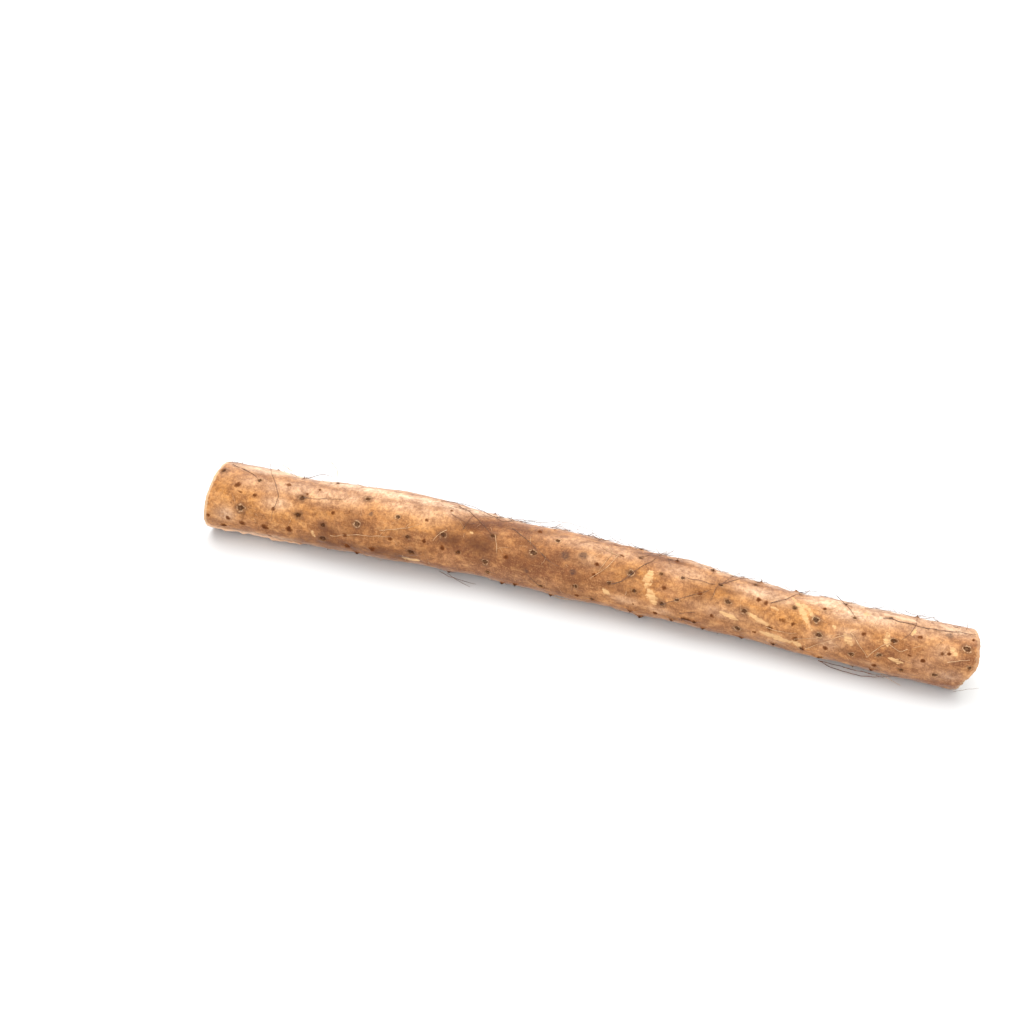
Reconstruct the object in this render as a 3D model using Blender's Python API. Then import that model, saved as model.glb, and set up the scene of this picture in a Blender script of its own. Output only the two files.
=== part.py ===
"""A piece of Chinese yam, cut across at both ends and lying on its side.

The root grew as one body, so it is one solid: a long, slightly bowed stick that thins from its thick end to
its thin end, with low swells, a raised scar wherever a rootlet grew, and flat spots underneath where it rests.

Units are metres and +Z is up. +X runs from the thick end to the thin end, and -Y is the side that faces the
viewer. The origin is on the surface that the root lies on, under the middle of its box.
"""

import math
import random

import bmesh
import bpy
from mathutils import Matrix, Vector

ROOT_NAME = "yam_root"

# Driving dimensions of the root
LENGTH = 0.395
# Each station: share of the length from the thick end, diameter, sideways bow of the axis towards +Y
STATIONS = (
    (0.00, 0.0366, 0.0000),
    (0.06, 0.0364, 0.0014),
    (0.12, 0.0344, 0.0027),
    (0.18, 0.0351, 0.0038),
    (0.26, 0.0359, 0.0048),
    (0.34, 0.0347, 0.0057),
    (0.43, 0.0329, 0.0056),
    (0.50, 0.0339, 0.0052),
    (0.58, 0.0322, 0.0044),
    (0.67, 0.0307, 0.0031),
    (0.76, 0.0287, 0.0012),
    (0.85, 0.0296, -0.0004),
    (0.94, 0.0293, -0.0007),
    (1.00, 0.0286, 0.0000),
)
DIAMETER = 1
BOW = 2

# The knife went through a little aslant: how far a cut face leans along X for each metre across and up
THICK_CUT_LEAN = (-0.05, 0.17)
THIN_CUT_LEAN = (-0.225, 0.186)
LEAN_REACH = 0.09  # share of the length over which the lean fades out

# How it rests: the underside sinks a little below the surface and is then cut flat there
FLAT_DEPTH = 0.00035
ARCH_RISE = 0.0008  # height of the shallow arches between the three places that touch
ARCH_START = 0.08  # share of the length where the first of those places is
ARCH_SPAN = 0.42  # share of the length from one of them to the next

# Low swells of the skin
SWELL_COUNT = 16
SWELL_HEIGHT = 0.00013
MOST_LOBES = 3
MOST_CYCLES = 14
SWELL_SEED = 11

# Rootlet scars, spread evenly round and along the root
SCAR_COUNT = 235
SCAR_SEED = 5
SCAR_DRIFT = 0.0036  # how far a scar strays from its even place, along and around
GOLDEN_TURN = math.pi * (3 - math.sqrt(5))
TWIN_CHANCE = 0.09
TWIN_GAP = 0.0044
SMALLEST_SCAR = 0.55
LARGEST_SCAR = 1.30
SCAR_LEANING = 1.4  # above 1, small scars are commoner than large ones
RAISED_SCAR = 0.80  # smaller scars are only a stain on the skin
END_MARGIN = 0.012  # share of the length at each end that is kept free of scars

# A raised scar of size 1
SCAR_FOOT = 0.0019
SCAR_TOP = 0.0010
SCAR_HEIGHT = 0.00075
SCAR_ROOT = 0.0009  # how deep it is sunk in the root

# Facets
RING_SIDES = 28
RING_STEPS = 80
SCAR_SIDES = 6

# A box that stands for everything below the surface
GROUND_SIZE = (0.6, 0.2, 0.02)

# What tells a cut face from the skin, and a crease from a smooth stretch
CUT_FACE_FACING = 0.8
CUT_FACE_AREA = 0.0003
CREASE_ANGLE = math.radians(35)

SKIN_COLOUR = (0.57, 0.33, 0.15, 1.0)
FLESH_COLOUR = (0.78, 0.74, 0.66, 1.0)


def clear_scene():
    for thing in list(bpy.data.objects):
        bpy.data.objects.remove(thing, do_unlink=True)


def new_collection(name):
    collection = bpy.data.collections.new(name)
    bpy.context.scene.collection.children.link(collection)
    return collection


def make_material(name, colour, roughness):
    material = bpy.data.materials.new(name)
    material.use_nodes = True
    shader = material.node_tree.nodes["Principled BSDF"]
    shader.inputs["Base Color"].default_value = colour
    shader.inputs["Roughness"].default_value = roughness
    shader.inputs["Metallic"].default_value = 0.0
    return material


# The root's form

def slope_at(index, column):
    """Slope of a station column at one station, from the stations on both sides of it."""
    before = STATIONS[max(index - 1, 0)]
    after = STATIONS[min(index + 1, len(STATIONS) - 1)]
    return (after[column] - before[column]) / (after[0] - before[0])


def along(share, column):
    """A station column at this share of the length, on a smooth curve through the stations."""
    share = min(max(share, 0.0), 1.0)
    index = max(i for i, station in enumerate(STATIONS[:-1]) if station[0] <= share)
    start, end = STATIONS[index], STATIONS[index + 1]
    span = end[0] - start[0]
    t = (share - start[0]) / span
    leaving = span * slope_at(index, column)
    arriving = span * slope_at(index + 1, column)
    return (
        (2 * t**3 - 3 * t**2 + 1) * start[column]
        + (t**3 - 2 * t**2 + t) * leaving
        + (3 * t**2 - 2 * t**3) * end[column]
        + (t**3 - t**2) * arriving
    )


def swell_waves():
    """The skin's swells as plain waves: lobes round the root, cycles along it, and a phase."""
    draw = random.Random(SWELL_SEED)
    waves = []
    for _ in range(SWELL_COUNT):
        lobes = draw.randint(0, MOST_LOBES)
        cycles = draw.uniform(-MOST_CYCLES, MOST_CYCLES)
        phase = draw.uniform(0.0, 2 * math.pi)
        waves.append((lobes, cycles, phase))
    return waves


SWELLS = swell_waves()


def swell(share, angle):
    """Height of the swells, in metres, above or below the even round."""
    waves = (math.cos(n * angle + 2 * math.pi * c * share + phase) for n, c, phase in SWELLS)
    return SWELL_HEIGHT * sum(waves)


def arch(share):
    """Lift of the root between the places where it touches."""
    return ARCH_RISE * math.sin(math.pi * (share - ARCH_START) / ARCH_SPAN) ** 2


def lean(share, across, up):
    """How far a point moves along X so that the end faces lie aslant."""
    from_thick = max(0.0, 1 - share / LEAN_REACH)
    from_thin = max(0.0, 1 - (1 - share) / LEAN_REACH)
    thick_part = THICK_CUT_LEAN[0] * across + THICK_CUT_LEAN[1] * up
    thin_part = THIN_CUT_LEAN[0] * across + THIN_CUT_LEAN[1] * up
    return from_thick * thick_part + from_thin * thin_part


def outward(angle):
    """Direction away from the axis. Angle 0 is +Y, a quarter turn is up, and half a turn is -Y."""
    return Vector((0.0, math.cos(angle), math.sin(angle)))


def skin_point(share, angle):
    """A point on the skin, before the underside is cut flat."""
    radius = along(share, DIAMETER) / 2
    reach = radius + swell(share, angle)
    across = reach * math.cos(angle)
    up = reach * math.sin(angle)
    axis_height = radius + arch(share) - FLAT_DEPTH
    x = (share - 0.5) * LENGTH + lean(share, across, up)
    return Vector((x, along(share, BOW) + across, axis_height + up))


def make_root(collection):
    """The bare root: a cylinder with many rings, drawn out to the skin's form."""
    bm = bmesh.new()
    bmesh.ops.create_cone(bm, cap_ends=True, segments=RING_SIDES, radius1=1, radius2=1, depth=1)
    long_edges = [edge for edge in bm.edges if abs(edge.verts[0].co.z - edge.verts[1].co.z) > 0.5]
    bmesh.ops.subdivide_edges(bm, edges=long_edges, cuts=RING_STEPS - 1)
    for vert in bm.verts:
        share = vert.co.z + 0.5
        angle = math.atan2(vert.co.y, vert.co.x)
        vert.co = skin_point(share, angle)
    mesh = bpy.data.meshes.new(ROOT_NAME)
    bm.to_mesh(mesh)
    bm.free()
    root = bpy.data.objects.new(ROOT_NAME, mesh)
    collection.objects.link(root)
    return root


# The scars

def scar_places():
    """Every scar as (share of the length, angle, size), from a golden-angle spiral with some drift."""
    draw = random.Random(SCAR_SEED)
    places = []
    for index in range(SCAR_COUNT):
        share = (index + 0.5) / SCAR_COUNT + draw.uniform(-SCAR_DRIFT, SCAR_DRIFT) / LENGTH
        radius = along(share, DIAMETER) / 2
        angle = index * GOLDEN_TURN + draw.uniform(-SCAR_DRIFT, SCAR_DRIFT) / radius
        size = SMALLEST_SCAR + (LARGEST_SCAR - SMALLEST_SCAR) * draw.random() ** SCAR_LEANING
        share = min(max(share, END_MARGIN), 1 - END_MARGIN)
        places.append((share, angle, size))
        if draw.random() < TWIN_CHANCE:
            places.append((share, angle + TWIN_GAP / radius, SMALLEST_SCAR))
    return places


def make_scar(index, share, angle, size, collection):
    """One raised scar: a short six-sided stump, square to the axis and sunk in the skin."""
    bm = bmesh.new()
    bmesh.ops.create_cone(
        bm,
        cap_ends=True,
        segments=SCAR_SIDES,
        radius1=SCAR_FOOT * size,
        radius2=SCAR_TOP * size,
        depth=SCAR_HEIGHT * size + SCAR_ROOT,
    )
    away = outward(angle)
    middle = skin_point(share, angle) + away * (SCAR_HEIGHT * size - SCAR_ROOT) / 2
    turn = away.to_track_quat("Z", "X").to_matrix().to_4x4()
    bmesh.ops.transform(bm, matrix=Matrix.Translation(middle) @ turn, verts=bm.verts)
    mesh = bpy.data.meshes.new(f"scar_{index:03d}")
    bm.to_mesh(mesh)
    bm.free()
    collection.objects.link(bpy.data.objects.new(mesh.name, mesh))


def make_scars(collection):
    raised = [place for place in scar_places() if place[2] >= RAISED_SCAR]
    for index, (share, angle, size) in enumerate(raised):
        make_scar(index, share, angle, size, collection)


# Joining, cutting and placing

def settle_modifiers(thing):
    """Make the modifiers' result the object's own mesh."""
    depsgraph = bpy.context.evaluated_depsgraph_get()
    mesh = bpy.data.meshes.new_from_object(thing.evaluated_get(depsgraph))
    thing.modifiers.clear()
    thing.data = mesh


def join_scars(root, scars):
    """Grow the scars into the root, so that it stays one body."""
    union = root.modifiers.new("grown_scars", "BOOLEAN")
    union.operation = "UNION"
    union.operand_type = "COLLECTION"
    union.collection = scars
    union.solver = "EXACT"
    settle_modifiers(root)
    for scar in list(scars.objects):
        bpy.data.objects.remove(scar, do_unlink=True)
    bpy.data.collections.remove(scars)


def make_ground_cutter(collection):
    """Everything below the surface that the root lies on."""
    bpy.ops.mesh.primitive_cube_add(size=1, location=(0, 0, -GROUND_SIZE[2] / 2), scale=GROUND_SIZE)
    cutter = bpy.context.active_object
    cutter.name = "ground_cutter"
    for owner in list(cutter.users_collection):
        owner.objects.unlink(cutter)
    collection.objects.link(cutter)
    cutter.hide_render = True
    cutter.display_type = "WIRE"
    return cutter


def flatten_underside(root, cutter):
    cut = root.modifiers.new("flat_underside", "BOOLEAN")
    cut.operation = "DIFFERENCE"
    cut.object = cutter
    cut.solver = "EXACT"
    settle_modifiers(root)


def centre_on_origin(root):
    """Put the middle of the root's box over the origin."""
    xs = [vert.co.x for vert in root.data.vertices]
    ys = [vert.co.y for vert in root.data.vertices]
    shift = Vector(((min(xs) + max(xs)) / -2, (min(ys) + max(ys)) / -2, 0.0))
    root.data.transform(Matrix.Translation(shift))


def finish_skin(root):
    """Skin all over, white flesh on the two cut faces, and smooth shading between creases."""
    root.data.materials.clear()
    root.data.materials.append(make_material("yam_skin", SKIN_COLOUR, 0.8))
    root.data.materials.append(make_material("yam_flesh", FLESH_COLOUR, 0.55))
    for face in root.data.polygons:
        is_cut = abs(face.normal.x) > CUT_FACE_FACING and face.area > CUT_FACE_AREA
        face.material_index = int(is_cut)
    root.data.shade_smooth()
    root.data.set_sharp_from_angle(angle=CREASE_ANGLE)


def build():
    clear_scene()
    parts = new_collection("chinese_yam")
    cutters = new_collection("cutters")
    scars = new_collection("scars")
    root = make_root(parts)
    make_scars(scars)
    join_scars(root, scars)
    flatten_underside(root, make_ground_cutter(cutters))
    centre_on_origin(root)
    finish_skin(root)


build()
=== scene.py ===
# %% [markdown]
# # A piece of Chinese yam
#
# The real thing is a long root, cut across at both ends. Its skin is thin and ochre brown, with a round scar
# wherever a rootlet grew, and a few of the rootlets are still on it. This lesson dresses the plain CAD solid:
# it makes a fine skin over the same form, marks and colours it, grows the rootlets, and lights the whole.

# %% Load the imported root
import math
import random

import bpy
import numpy as np
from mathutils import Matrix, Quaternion, Vector
from mathutils.bvhtree import BVHTree


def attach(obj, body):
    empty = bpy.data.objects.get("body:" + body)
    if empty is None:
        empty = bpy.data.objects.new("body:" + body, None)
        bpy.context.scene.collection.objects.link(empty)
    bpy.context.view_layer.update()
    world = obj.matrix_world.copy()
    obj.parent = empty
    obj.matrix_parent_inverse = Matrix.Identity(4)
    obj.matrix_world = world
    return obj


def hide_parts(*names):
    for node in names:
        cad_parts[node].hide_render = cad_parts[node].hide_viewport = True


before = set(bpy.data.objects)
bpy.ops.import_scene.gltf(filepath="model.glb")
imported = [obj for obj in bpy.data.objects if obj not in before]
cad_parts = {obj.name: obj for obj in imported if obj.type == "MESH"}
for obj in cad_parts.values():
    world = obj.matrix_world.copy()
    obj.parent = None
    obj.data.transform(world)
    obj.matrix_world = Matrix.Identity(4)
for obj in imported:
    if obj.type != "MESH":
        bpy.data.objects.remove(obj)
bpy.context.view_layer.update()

# %% [markdown]
# ## The camera
#
# The picture looks down on the root from the front and a little from the right. Distances along a root are
# hard to judge by eye, so the camera was fitted: its turn, height, distance and a small roll were changed
# until the root's outline fell where the photograph has it. It is placed first, because marks are put on by
# looking through it.

# %% Place the camera
CAMERA_TURN = math.radians(19.67)
CAMERA_HEIGHT = math.radians(36.0)
CAMERA_DISTANCE = 0.7885
CAMERA_AIM = Vector((-0.0507, 0.0571, 0.0))
CAMERA_ROLL = math.radians(-0.42)
LENS_MM = 50.0
SENSOR_MM = 36.0
PICTURE_SIZE = 1024

towards_camera = Vector((
    math.sin(CAMERA_TURN) * math.cos(CAMERA_HEIGHT),
    -math.cos(CAMERA_TURN) * math.cos(CAMERA_HEIGHT),
    math.sin(CAMERA_HEIGHT),
))
camera_turn = towards_camera.to_track_quat("Z", "Y") @ Quaternion((0.0, 0.0, 1.0), CAMERA_ROLL)
bpy.ops.object.camera_add(
    location=CAMERA_AIM + towards_camera * CAMERA_DISTANCE,
    rotation=camera_turn.to_euler(),
)
camera = bpy.context.active_object
camera.data.lens = LENS_MM
camera.data.sensor_width = SENSOR_MM
bpy.context.scene.camera = camera
print("Camera at", tuple(round(value, 4) for value in camera.location))

# %% [markdown]
# ## The root's form
#
# A grown form is easiest to hold as a rule: give it a share of the length and an angle round the axis, and it
# answers with a point on the skin. These are the same stations, bow, cuts and swells as in the CAD source, so
# the fine skin lies on the solid. Numpy works the rule out for all points at once.

# %% The numbers of the form
LENGTH = 0.395
# Each station: share of the length from the thick end, diameter, sideways bow of the axis towards +Y
STATIONS = np.array((
    (0.00, 0.0366, 0.0000),
    (0.06, 0.0364, 0.0014),
    (0.12, 0.0344, 0.0027),
    (0.18, 0.0351, 0.0038),
    (0.26, 0.0359, 0.0048),
    (0.34, 0.0347, 0.0057),
    (0.43, 0.0329, 0.0056),
    (0.50, 0.0339, 0.0052),
    (0.58, 0.0322, 0.0044),
    (0.67, 0.0307, 0.0031),
    (0.76, 0.0287, 0.0012),
    (0.85, 0.0296, -0.0004),
    (0.94, 0.0293, -0.0007),
    (1.00, 0.0286, 0.0000),
))
DIAMETER = 1
BOW = 2
THICK_CUT_LEAN = (-0.05, 0.17)
THIN_CUT_LEAN = (-0.225, 0.186)
LEAN_REACH = 0.09
FLAT_DEPTH = 0.00035
ARCH_RISE = 0.0008
ARCH_START = 0.08
ARCH_SPAN = 0.42
SWELL_COUNT = 16
SWELL_HEIGHT = 0.00013
MOST_LOBES = 3
MOST_CYCLES = 14
SWELL_SEED = 11
CENTRING = (-0.000615, -0.002704)  # how far the CAD source moves the form to centre its box
print("The form has", len(STATIONS), "stations and", SWELL_COUNT, "low swells")

# %% A smooth curve through the stations
slopes = np.gradient(STATIONS, axis=0)
slopes = slopes / slopes[:, :1]


def along(share, column):
    """One column of the stations at these shares of the length, on a smooth curve through the stations."""
    share = np.clip(share, 0.0, 1.0)
    index = np.searchsorted(STATIONS[:, 0], share, side="right") - 1
    index = np.clip(index, 0, len(STATIONS) - 2)
    span = STATIONS[index + 1, 0] - STATIONS[index, 0]
    t = (share - STATIONS[index, 0]) / span
    start, end = STATIONS[index, column], STATIONS[index + 1, column]
    leaving, arriving = span * slopes[index, column], span * slopes[index + 1, column]
    return (
        (2 * t**3 - 3 * t**2 + 1) * start
        + (t**3 - 2 * t**2 + t) * leaving
        + (3 * t**2 - 2 * t**3) * end
        + (t**3 - t**2) * arriving
    )


middle_mm = round(float(along(0.5, DIAMETER)) * 1000, 1)
print("In the middle the form is", middle_mm, "mm thick")

# %% Swells, arch and leaning cuts


def swell_waves():
    draw = random.Random(SWELL_SEED)
    waves = []
    for _ in range(SWELL_COUNT):
        lobes = draw.randint(0, MOST_LOBES)
        cycles = draw.uniform(-MOST_CYCLES, MOST_CYCLES)
        phase = draw.uniform(0.0, 2 * math.pi)
        waves.append((lobes, cycles, phase))
    return waves


swells = swell_waves()


def swell(share, angle):
    return SWELL_HEIGHT * sum(np.cos(n * angle + 2 * np.pi * c * share + phase) for n, c, phase in swells)


def arch(share):
    return ARCH_RISE * np.sin(np.pi * (share - ARCH_START) / ARCH_SPAN) ** 2


def lean(share, across, up):
    from_thick = np.maximum(0.0, 1 - share / LEAN_REACH)
    from_thin = np.maximum(0.0, 1 - (1 - share) / LEAN_REACH)
    thick_part = THICK_CUT_LEAN[0] * across + THICK_CUT_LEAN[1] * up
    thin_part = THIN_CUT_LEAN[0] * across + THIN_CUT_LEAN[1] * up
    return from_thick * thick_part + from_thin * thin_part


print(len(swells), "swells, and an arch of", round(ARCH_RISE * 1000, 1), "mm between the rests")

# %% Points of the form
UNFORM_ROUNDS = 4  # each round brings the share closer


def radius_at(share):
    return along(share, DIAMETER) / 2


def axis_at(share):
    """Sideways place and height of the axis at these shares of the length."""
    sideways = along(share, BOW) + CENTRING[1]
    height = radius_at(share) + arch(share) - FLAT_DEPTH
    return sideways, height


def form_point(share, angle, filling=1.0, relief=0.0):
    """Points on the skin, or inside it where filling is below 1. Relief lifts a point off the skin."""
    reach = (radius_at(share) + swell(share, angle)) * filling + relief
    across, up = reach * np.cos(angle), reach * np.sin(angle)
    sideways, height = axis_at(share)
    x = (share - 0.5) * LENGTH + lean(share, across, up) + CENTRING[0]
    return np.stack((x, sideways + across, height + up), axis=-1)


def unform(point):
    """The share of the length and the angle of a point near the skin."""
    share = (point[0] - CENTRING[0]) / LENGTH + 0.5
    for _ in range(UNFORM_ROUNDS):
        sideways, height = axis_at(share)
        across, up = point[1] - sideways, point[2] - height
        share = (point[0] - CENTRING[0] - lean(share, across, up)) / LENGTH + 0.5
    return float(share), math.atan2(up, across)


length_mm, thickness_mm = round(LENGTH * 1000), round(STATIONS[0, DIAMETER] * 1000, 1)
print("The form is", length_mm, "mm long and", thickness_mm, "mm thick at its thick end")

# %% [markdown]
# ## Looking through the camera
#
# Marks that matter for the likeness are put where the photograph has them. A place in the picture is a ray
# from the camera, and the place on the root is where that ray meets the skin. A coarse net of the form is
# enough to meet, and a tree of its faces makes the search quick. A ray that passes close by gives a point
# in the air beside the outline, which is where the loose rootlets go.

# %% A net of the form and its search tree
NET_RINGS = 240
NET_SIDES = 72

net_share, net_angle = np.meshgrid(
    np.linspace(0, 1, NET_RINGS), np.linspace(0, 2 * np.pi, NET_SIDES, endpoint=False), indexing="ij"
)
net_points = form_point(net_share, net_angle).reshape(-1, 3)
net_points[:, 2] = np.maximum(net_points[:, 2], 0.0)


def net_face(ring, side):
    after = (side + 1) % NET_SIDES
    here, beyond = ring * NET_SIDES, (ring + 1) * NET_SIDES
    return (here + side, here + after, beyond + after, beyond + side)


net_faces = [net_face(ring, side) for ring in range(NET_RINGS - 1) for side in range(NET_SIDES)]
net_tree = BVHTree.FromPolygons([Vector(point) for point in net_points], net_faces)
print("The net has", len(net_faces), "faces")

# %% From the picture to the skin
# The search along a ray: where it starts and how far it goes, as shares of the camera's distance
SEARCH_START = 0.75
SEARCH_SPAN = 0.5
SEARCH_STEPS = 150
MIDDLE_OF_THE_ROOT = (590, 560)

focal_length = LENS_MM / SENSOR_MM * PICTURE_SIZE
camera_place = CAMERA_AIM + towards_camera * CAMERA_DISTANCE


def picture_ray(x, y):
    """Direction from the camera through a place in the picture, in picture points."""
    across = (x - PICTURE_SIZE / 2) / focal_length
    up = (PICTURE_SIZE / 2 - y) / focal_length
    return (camera_turn @ Vector((across, up, -1.0))).normalized()


def nearest_on_ray(direction):
    """The point of a ray that passes closest to the skin, and the skin's point there."""
    shares = [SEARCH_START + SEARCH_SPAN * i / SEARCH_STEPS for i in range(SEARCH_STEPS + 1)]
    steps = [CAMERA_DISTANCE * share for share in shares]
    tries = [(net_tree.find_nearest(camera_place + direction * step), step) for step in steps]
    (skin_place, _, _, _), step = min(tries, key=lambda found: found[0][3])
    return camera_place + direction * step, skin_place


def seen_point(x, y, lift=0.0):
    """The place on the skin that the picture shows at (x, y), lifted off the skin by a length."""
    direction = picture_ray(x, y)
    hit, normal, _, _ = net_tree.ray_cast(camera_place, direction)
    if hit is not None:
        return hit + (normal if normal.dot(direction) < 0 else -normal) * lift
    in_air, _ = nearest_on_ray(direction)
    return in_air


def seen_place(x, y):
    """The share of the length and the angle of what the picture shows at (x, y)."""
    direction = picture_ray(x, y)
    hit = net_tree.ray_cast(camera_place, direction)[0]
    if hit is None:
        _, hit = nearest_on_ray(direction)
    return unform(hit)


middle_place = tuple(round(value, 4) for value in seen_point(*MIDDLE_OF_THE_ROOT))
print("The root's middle in the picture shows the point", middle_place)

# %% [markdown]
# ## The rootlet scars
#
# Where a rootlet grew, the skin keeps a mark. Old ones are eyes: a dark hole in a pale ring of cork. Young
# ones are small red-brown dots, and where a stump is left they are nubs with a dark tip. A few have healed
# over and left a smudge. They could be scattered at random, but a viewer knows a root by its largest marks.
# So those on the visible side are placed one by one, and those on the hidden side follow the CAD source's
# rule of a golden-angle spiral. Each has a place, a size and a strength: for an eye that is how clear its
# pale ring is, and for the others how dark they are.

# %% Scars seen in the picture
# Each eye: its place in the picture, its size and the strength of its ring. The others: their place and size
EYES = (
    (224, 471, 1.4, 0.1), (260, 481, 1.2, 0.3), (241, 508, 1.8, 0.7), (302, 498, 1.5, 0.3),
    (298, 515, 1.5, 0.1), (368, 499, 1.3, 0.5), (323, 525, 1.3, 0.1), (357, 524, 1.5, 0.7),
    (323, 538, 1.7, 0.2), (398, 517, 1.2, 0.5), (408, 537, 1.2, 0.2), (443, 535, 1.5, 0.4),
    (411, 552, 1.6, 0.1), (458, 552, 1.2, 0.2), (493, 536, 1.3, 0.2), (485, 562, 1.4, 0.7),
    (488, 572, 1.2, 0.3), (533, 553, 1.6, 0.9), (558, 541, 1.2, 0.8), (575, 586, 1.2, 0.3),
    (541, 586, 1.1, 0.2), (592, 599, 1.0, 0.1), (609, 583, 1.1, 0.2), (641, 558, 1.1, 0.1),
    (631, 573, 1.4, 0.7), (634, 591, 1.2, 0.3), (661, 574, 0.95, 0.3), (683, 578, 1.05, 0.5),
    (662, 604, 1.3, 0.3), (677, 600, 1.05, 0.6), (721, 585, 1.15, 0.5), (728, 602, 1.3, 0.5),
    (744, 611, 1.3, 0.5), (737, 628, 1.4, 0.6), (795, 608, 1.2, 0.2), (816, 620, 1.4, 0.8),
    (819, 635, 1.4, 0.6), (756, 585, 1.0, 0.1), (800, 595, 0.9, 0.3), (855, 618, 1.0, 0.4),
    (851, 654, 1.2, 0.5), (879, 655, 1.2, 0.5), (901, 670, 1.1, 0.0), (894, 641, 1.2, 0.5),
    (967, 649, 1.35, 1.0), (969, 668, 0.95, 0.4), (891, 618, 0.9, 0.5), (935, 675, 1.1, 0.4),
)
DOTS = (
    (238, 485, 1.6), (255, 495, 1.0), (289, 485, 1.2), (320, 490, 0.7), (307, 494, 0.8), (273, 509, 1.1),
    (228, 518, 1.3), (208, 515, 1.0), (224, 525, 1.6), (242, 523, 1.6), (265, 527, 1.8), (289, 529, 1.6),
    (270, 536, 1.1), (333, 513, 1.0), (345, 535, 1.2), (347, 546, 1.4), (372, 549, 1.4), (390, 539, 1.0),
    (350, 512, 0.7), (241, 492, 0.5), (256, 518, 0.5), (427, 520, 0.9), (424, 541, 1.0), (442, 548, 1.1),
    (506, 557, 1.1), (597, 564, 1.0), (540, 532, 1.0), (555, 530, 0.7), (452, 511, 0.8), (577, 595, 1.0),
    (594, 575, 1.0), (622, 556, 1.1), (664, 588, 1.1), (700, 594, 1.0), (759, 600, 1.1), (766, 603, 1.0),
    (712, 616, 1.0), (770, 628, 1.3), (781, 620, 0.9), (793, 624, 1.0), (795, 639, 1.3), (825, 609, 0.9),
    (825, 648, 1.1), (655, 613, 1.0), (633, 604, 0.5), (754, 632, 0.8), (864, 634, 1.0), (874, 665, 1.1),
    (920, 637, 0.9), (943, 654, 0.9), (949, 654, 0.8), (923, 661, 0.9), (908, 655, 0.6), (933, 623, 0.7),
    (973, 640, 0.7),
)
NUBS = (
    (304, 479, 1.0), (338, 484, 0.9), (357, 552, 1.0), (450, 571, 1.2), (502, 582, 1.0), (515, 584, 1.0),
    (551, 594, 1.1), (683, 618, 1.1), (694, 621, 1.1), (703, 628, 1.0), (741, 637, 1.0), (630, 610, 1.1),
    (671, 619, 0.9), (761, 583, 1.0), (713, 571, 1.1), (677, 561, 0.9), (641, 550, 0.9), (797, 589, 1.0),
    (820, 657, 1.1), (773, 643, 1.0), (802, 648, 1.1), (846, 605, 0.9), (917, 618, 1.0), (871, 669, 0.9),
)
SMUDGES = (
    (565, 555, 1.9), (583, 555, 1.6), (526, 571, 1.0), (573, 572, 1.2), (371, 514, 1.0), (950, 636, 1.2),
)

MARK_DRAW_SEED = 3
WEAKEST_MARK = 0.78
SHARE, ANGLE, SIZE, STRENGTH = range(4)  # what the numbers of a scar are


def seen_scars(places, draw):
    """Scars at these places in the picture, each with its own strength of colour."""
    return [(*seen_place(x, y), size, draw.uniform(WEAKEST_MARK, 1.0)) for x, y, size in places]


draw = random.Random(MARK_DRAW_SEED)
eyes = [(*seen_place(x, y), size, ring) for x, y, size, ring in EYES]
smudges = seen_scars(SMUDGES, draw)
dots = seen_scars(DOTS, draw)
nubs = seen_scars(NUBS, draw)
print("Seen in the picture:", len(eyes), "eyes,", len(dots), "dots and", len(nubs), "nubs")

# %% Scars of the hidden side
SCAR_COUNT = 235
SCAR_SEED = 5
SCAR_DRIFT = 0.0036
GOLDEN_TURN = math.pi * (3 - math.sqrt(5))
END_MARGIN = 0.012
HIDDEN_FACING = 0.10  # a scar follows the rule where its skin faces the camera less than this
SCAR_CLEARANCE = 0.0045
HIDDEN_SIZES = (0.7, 1.5)
EYE_CHANCE = 0.40
DOT_CHANCE = 0.45


def facing_camera(share, angle):
    """How squarely the skin faces the camera, from -1 to 1."""
    outward = Vector((0.0, math.cos(angle), math.sin(angle)))
    point = Vector(form_point(share, angle))
    return outward.dot((camera_place - point).normalized())


def turn_from(start, angle):
    """The shorter turn from one angle to others, from minus to plus half a turn."""
    return (angle - start + np.pi) % (2 * np.pi) - np.pi


def unrolled_distance(share, angle, place, stretch=1.0):
    """Distance over the skin between points and one place, as if the skin were rolled out flat."""
    down = (share - place[SHARE]) * LENGTH
    across = turn_from(place[ANGLE], angle) * radius_at(place[SHARE])
    return np.hypot(down / stretch, across * stretch)


draw = random.Random(SCAR_SEED)
for index in range(SCAR_COUNT):
    share = (index + 0.5) / SCAR_COUNT + draw.uniform(-SCAR_DRIFT, SCAR_DRIFT) / LENGTH
    share = min(max(share, END_MARGIN), 1 - END_MARGIN)
    angle = index * GOLDEN_TURN + draw.uniform(-SCAR_DRIFT, SCAR_DRIFT) / radius_at(share)
    size, kind, strength = draw.uniform(*HIDDEN_SIZES), draw.random(), draw.random()
    clear = all(unrolled_distance(share, angle, scar) > SCAR_CLEARANCE for scar in eyes + dots + nubs)
    if facing_camera(share, angle) < HIDDEN_FACING and clear:
        chosen = eyes if kind < EYE_CHANCE else dots if kind < EYE_CHANCE + DOT_CHANCE else nubs
        chosen.append((share, angle, size, strength))
print("On the whole root:", len(eyes), "eyes,", len(dots), "dots and", len(nubs), "nubs")
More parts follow.
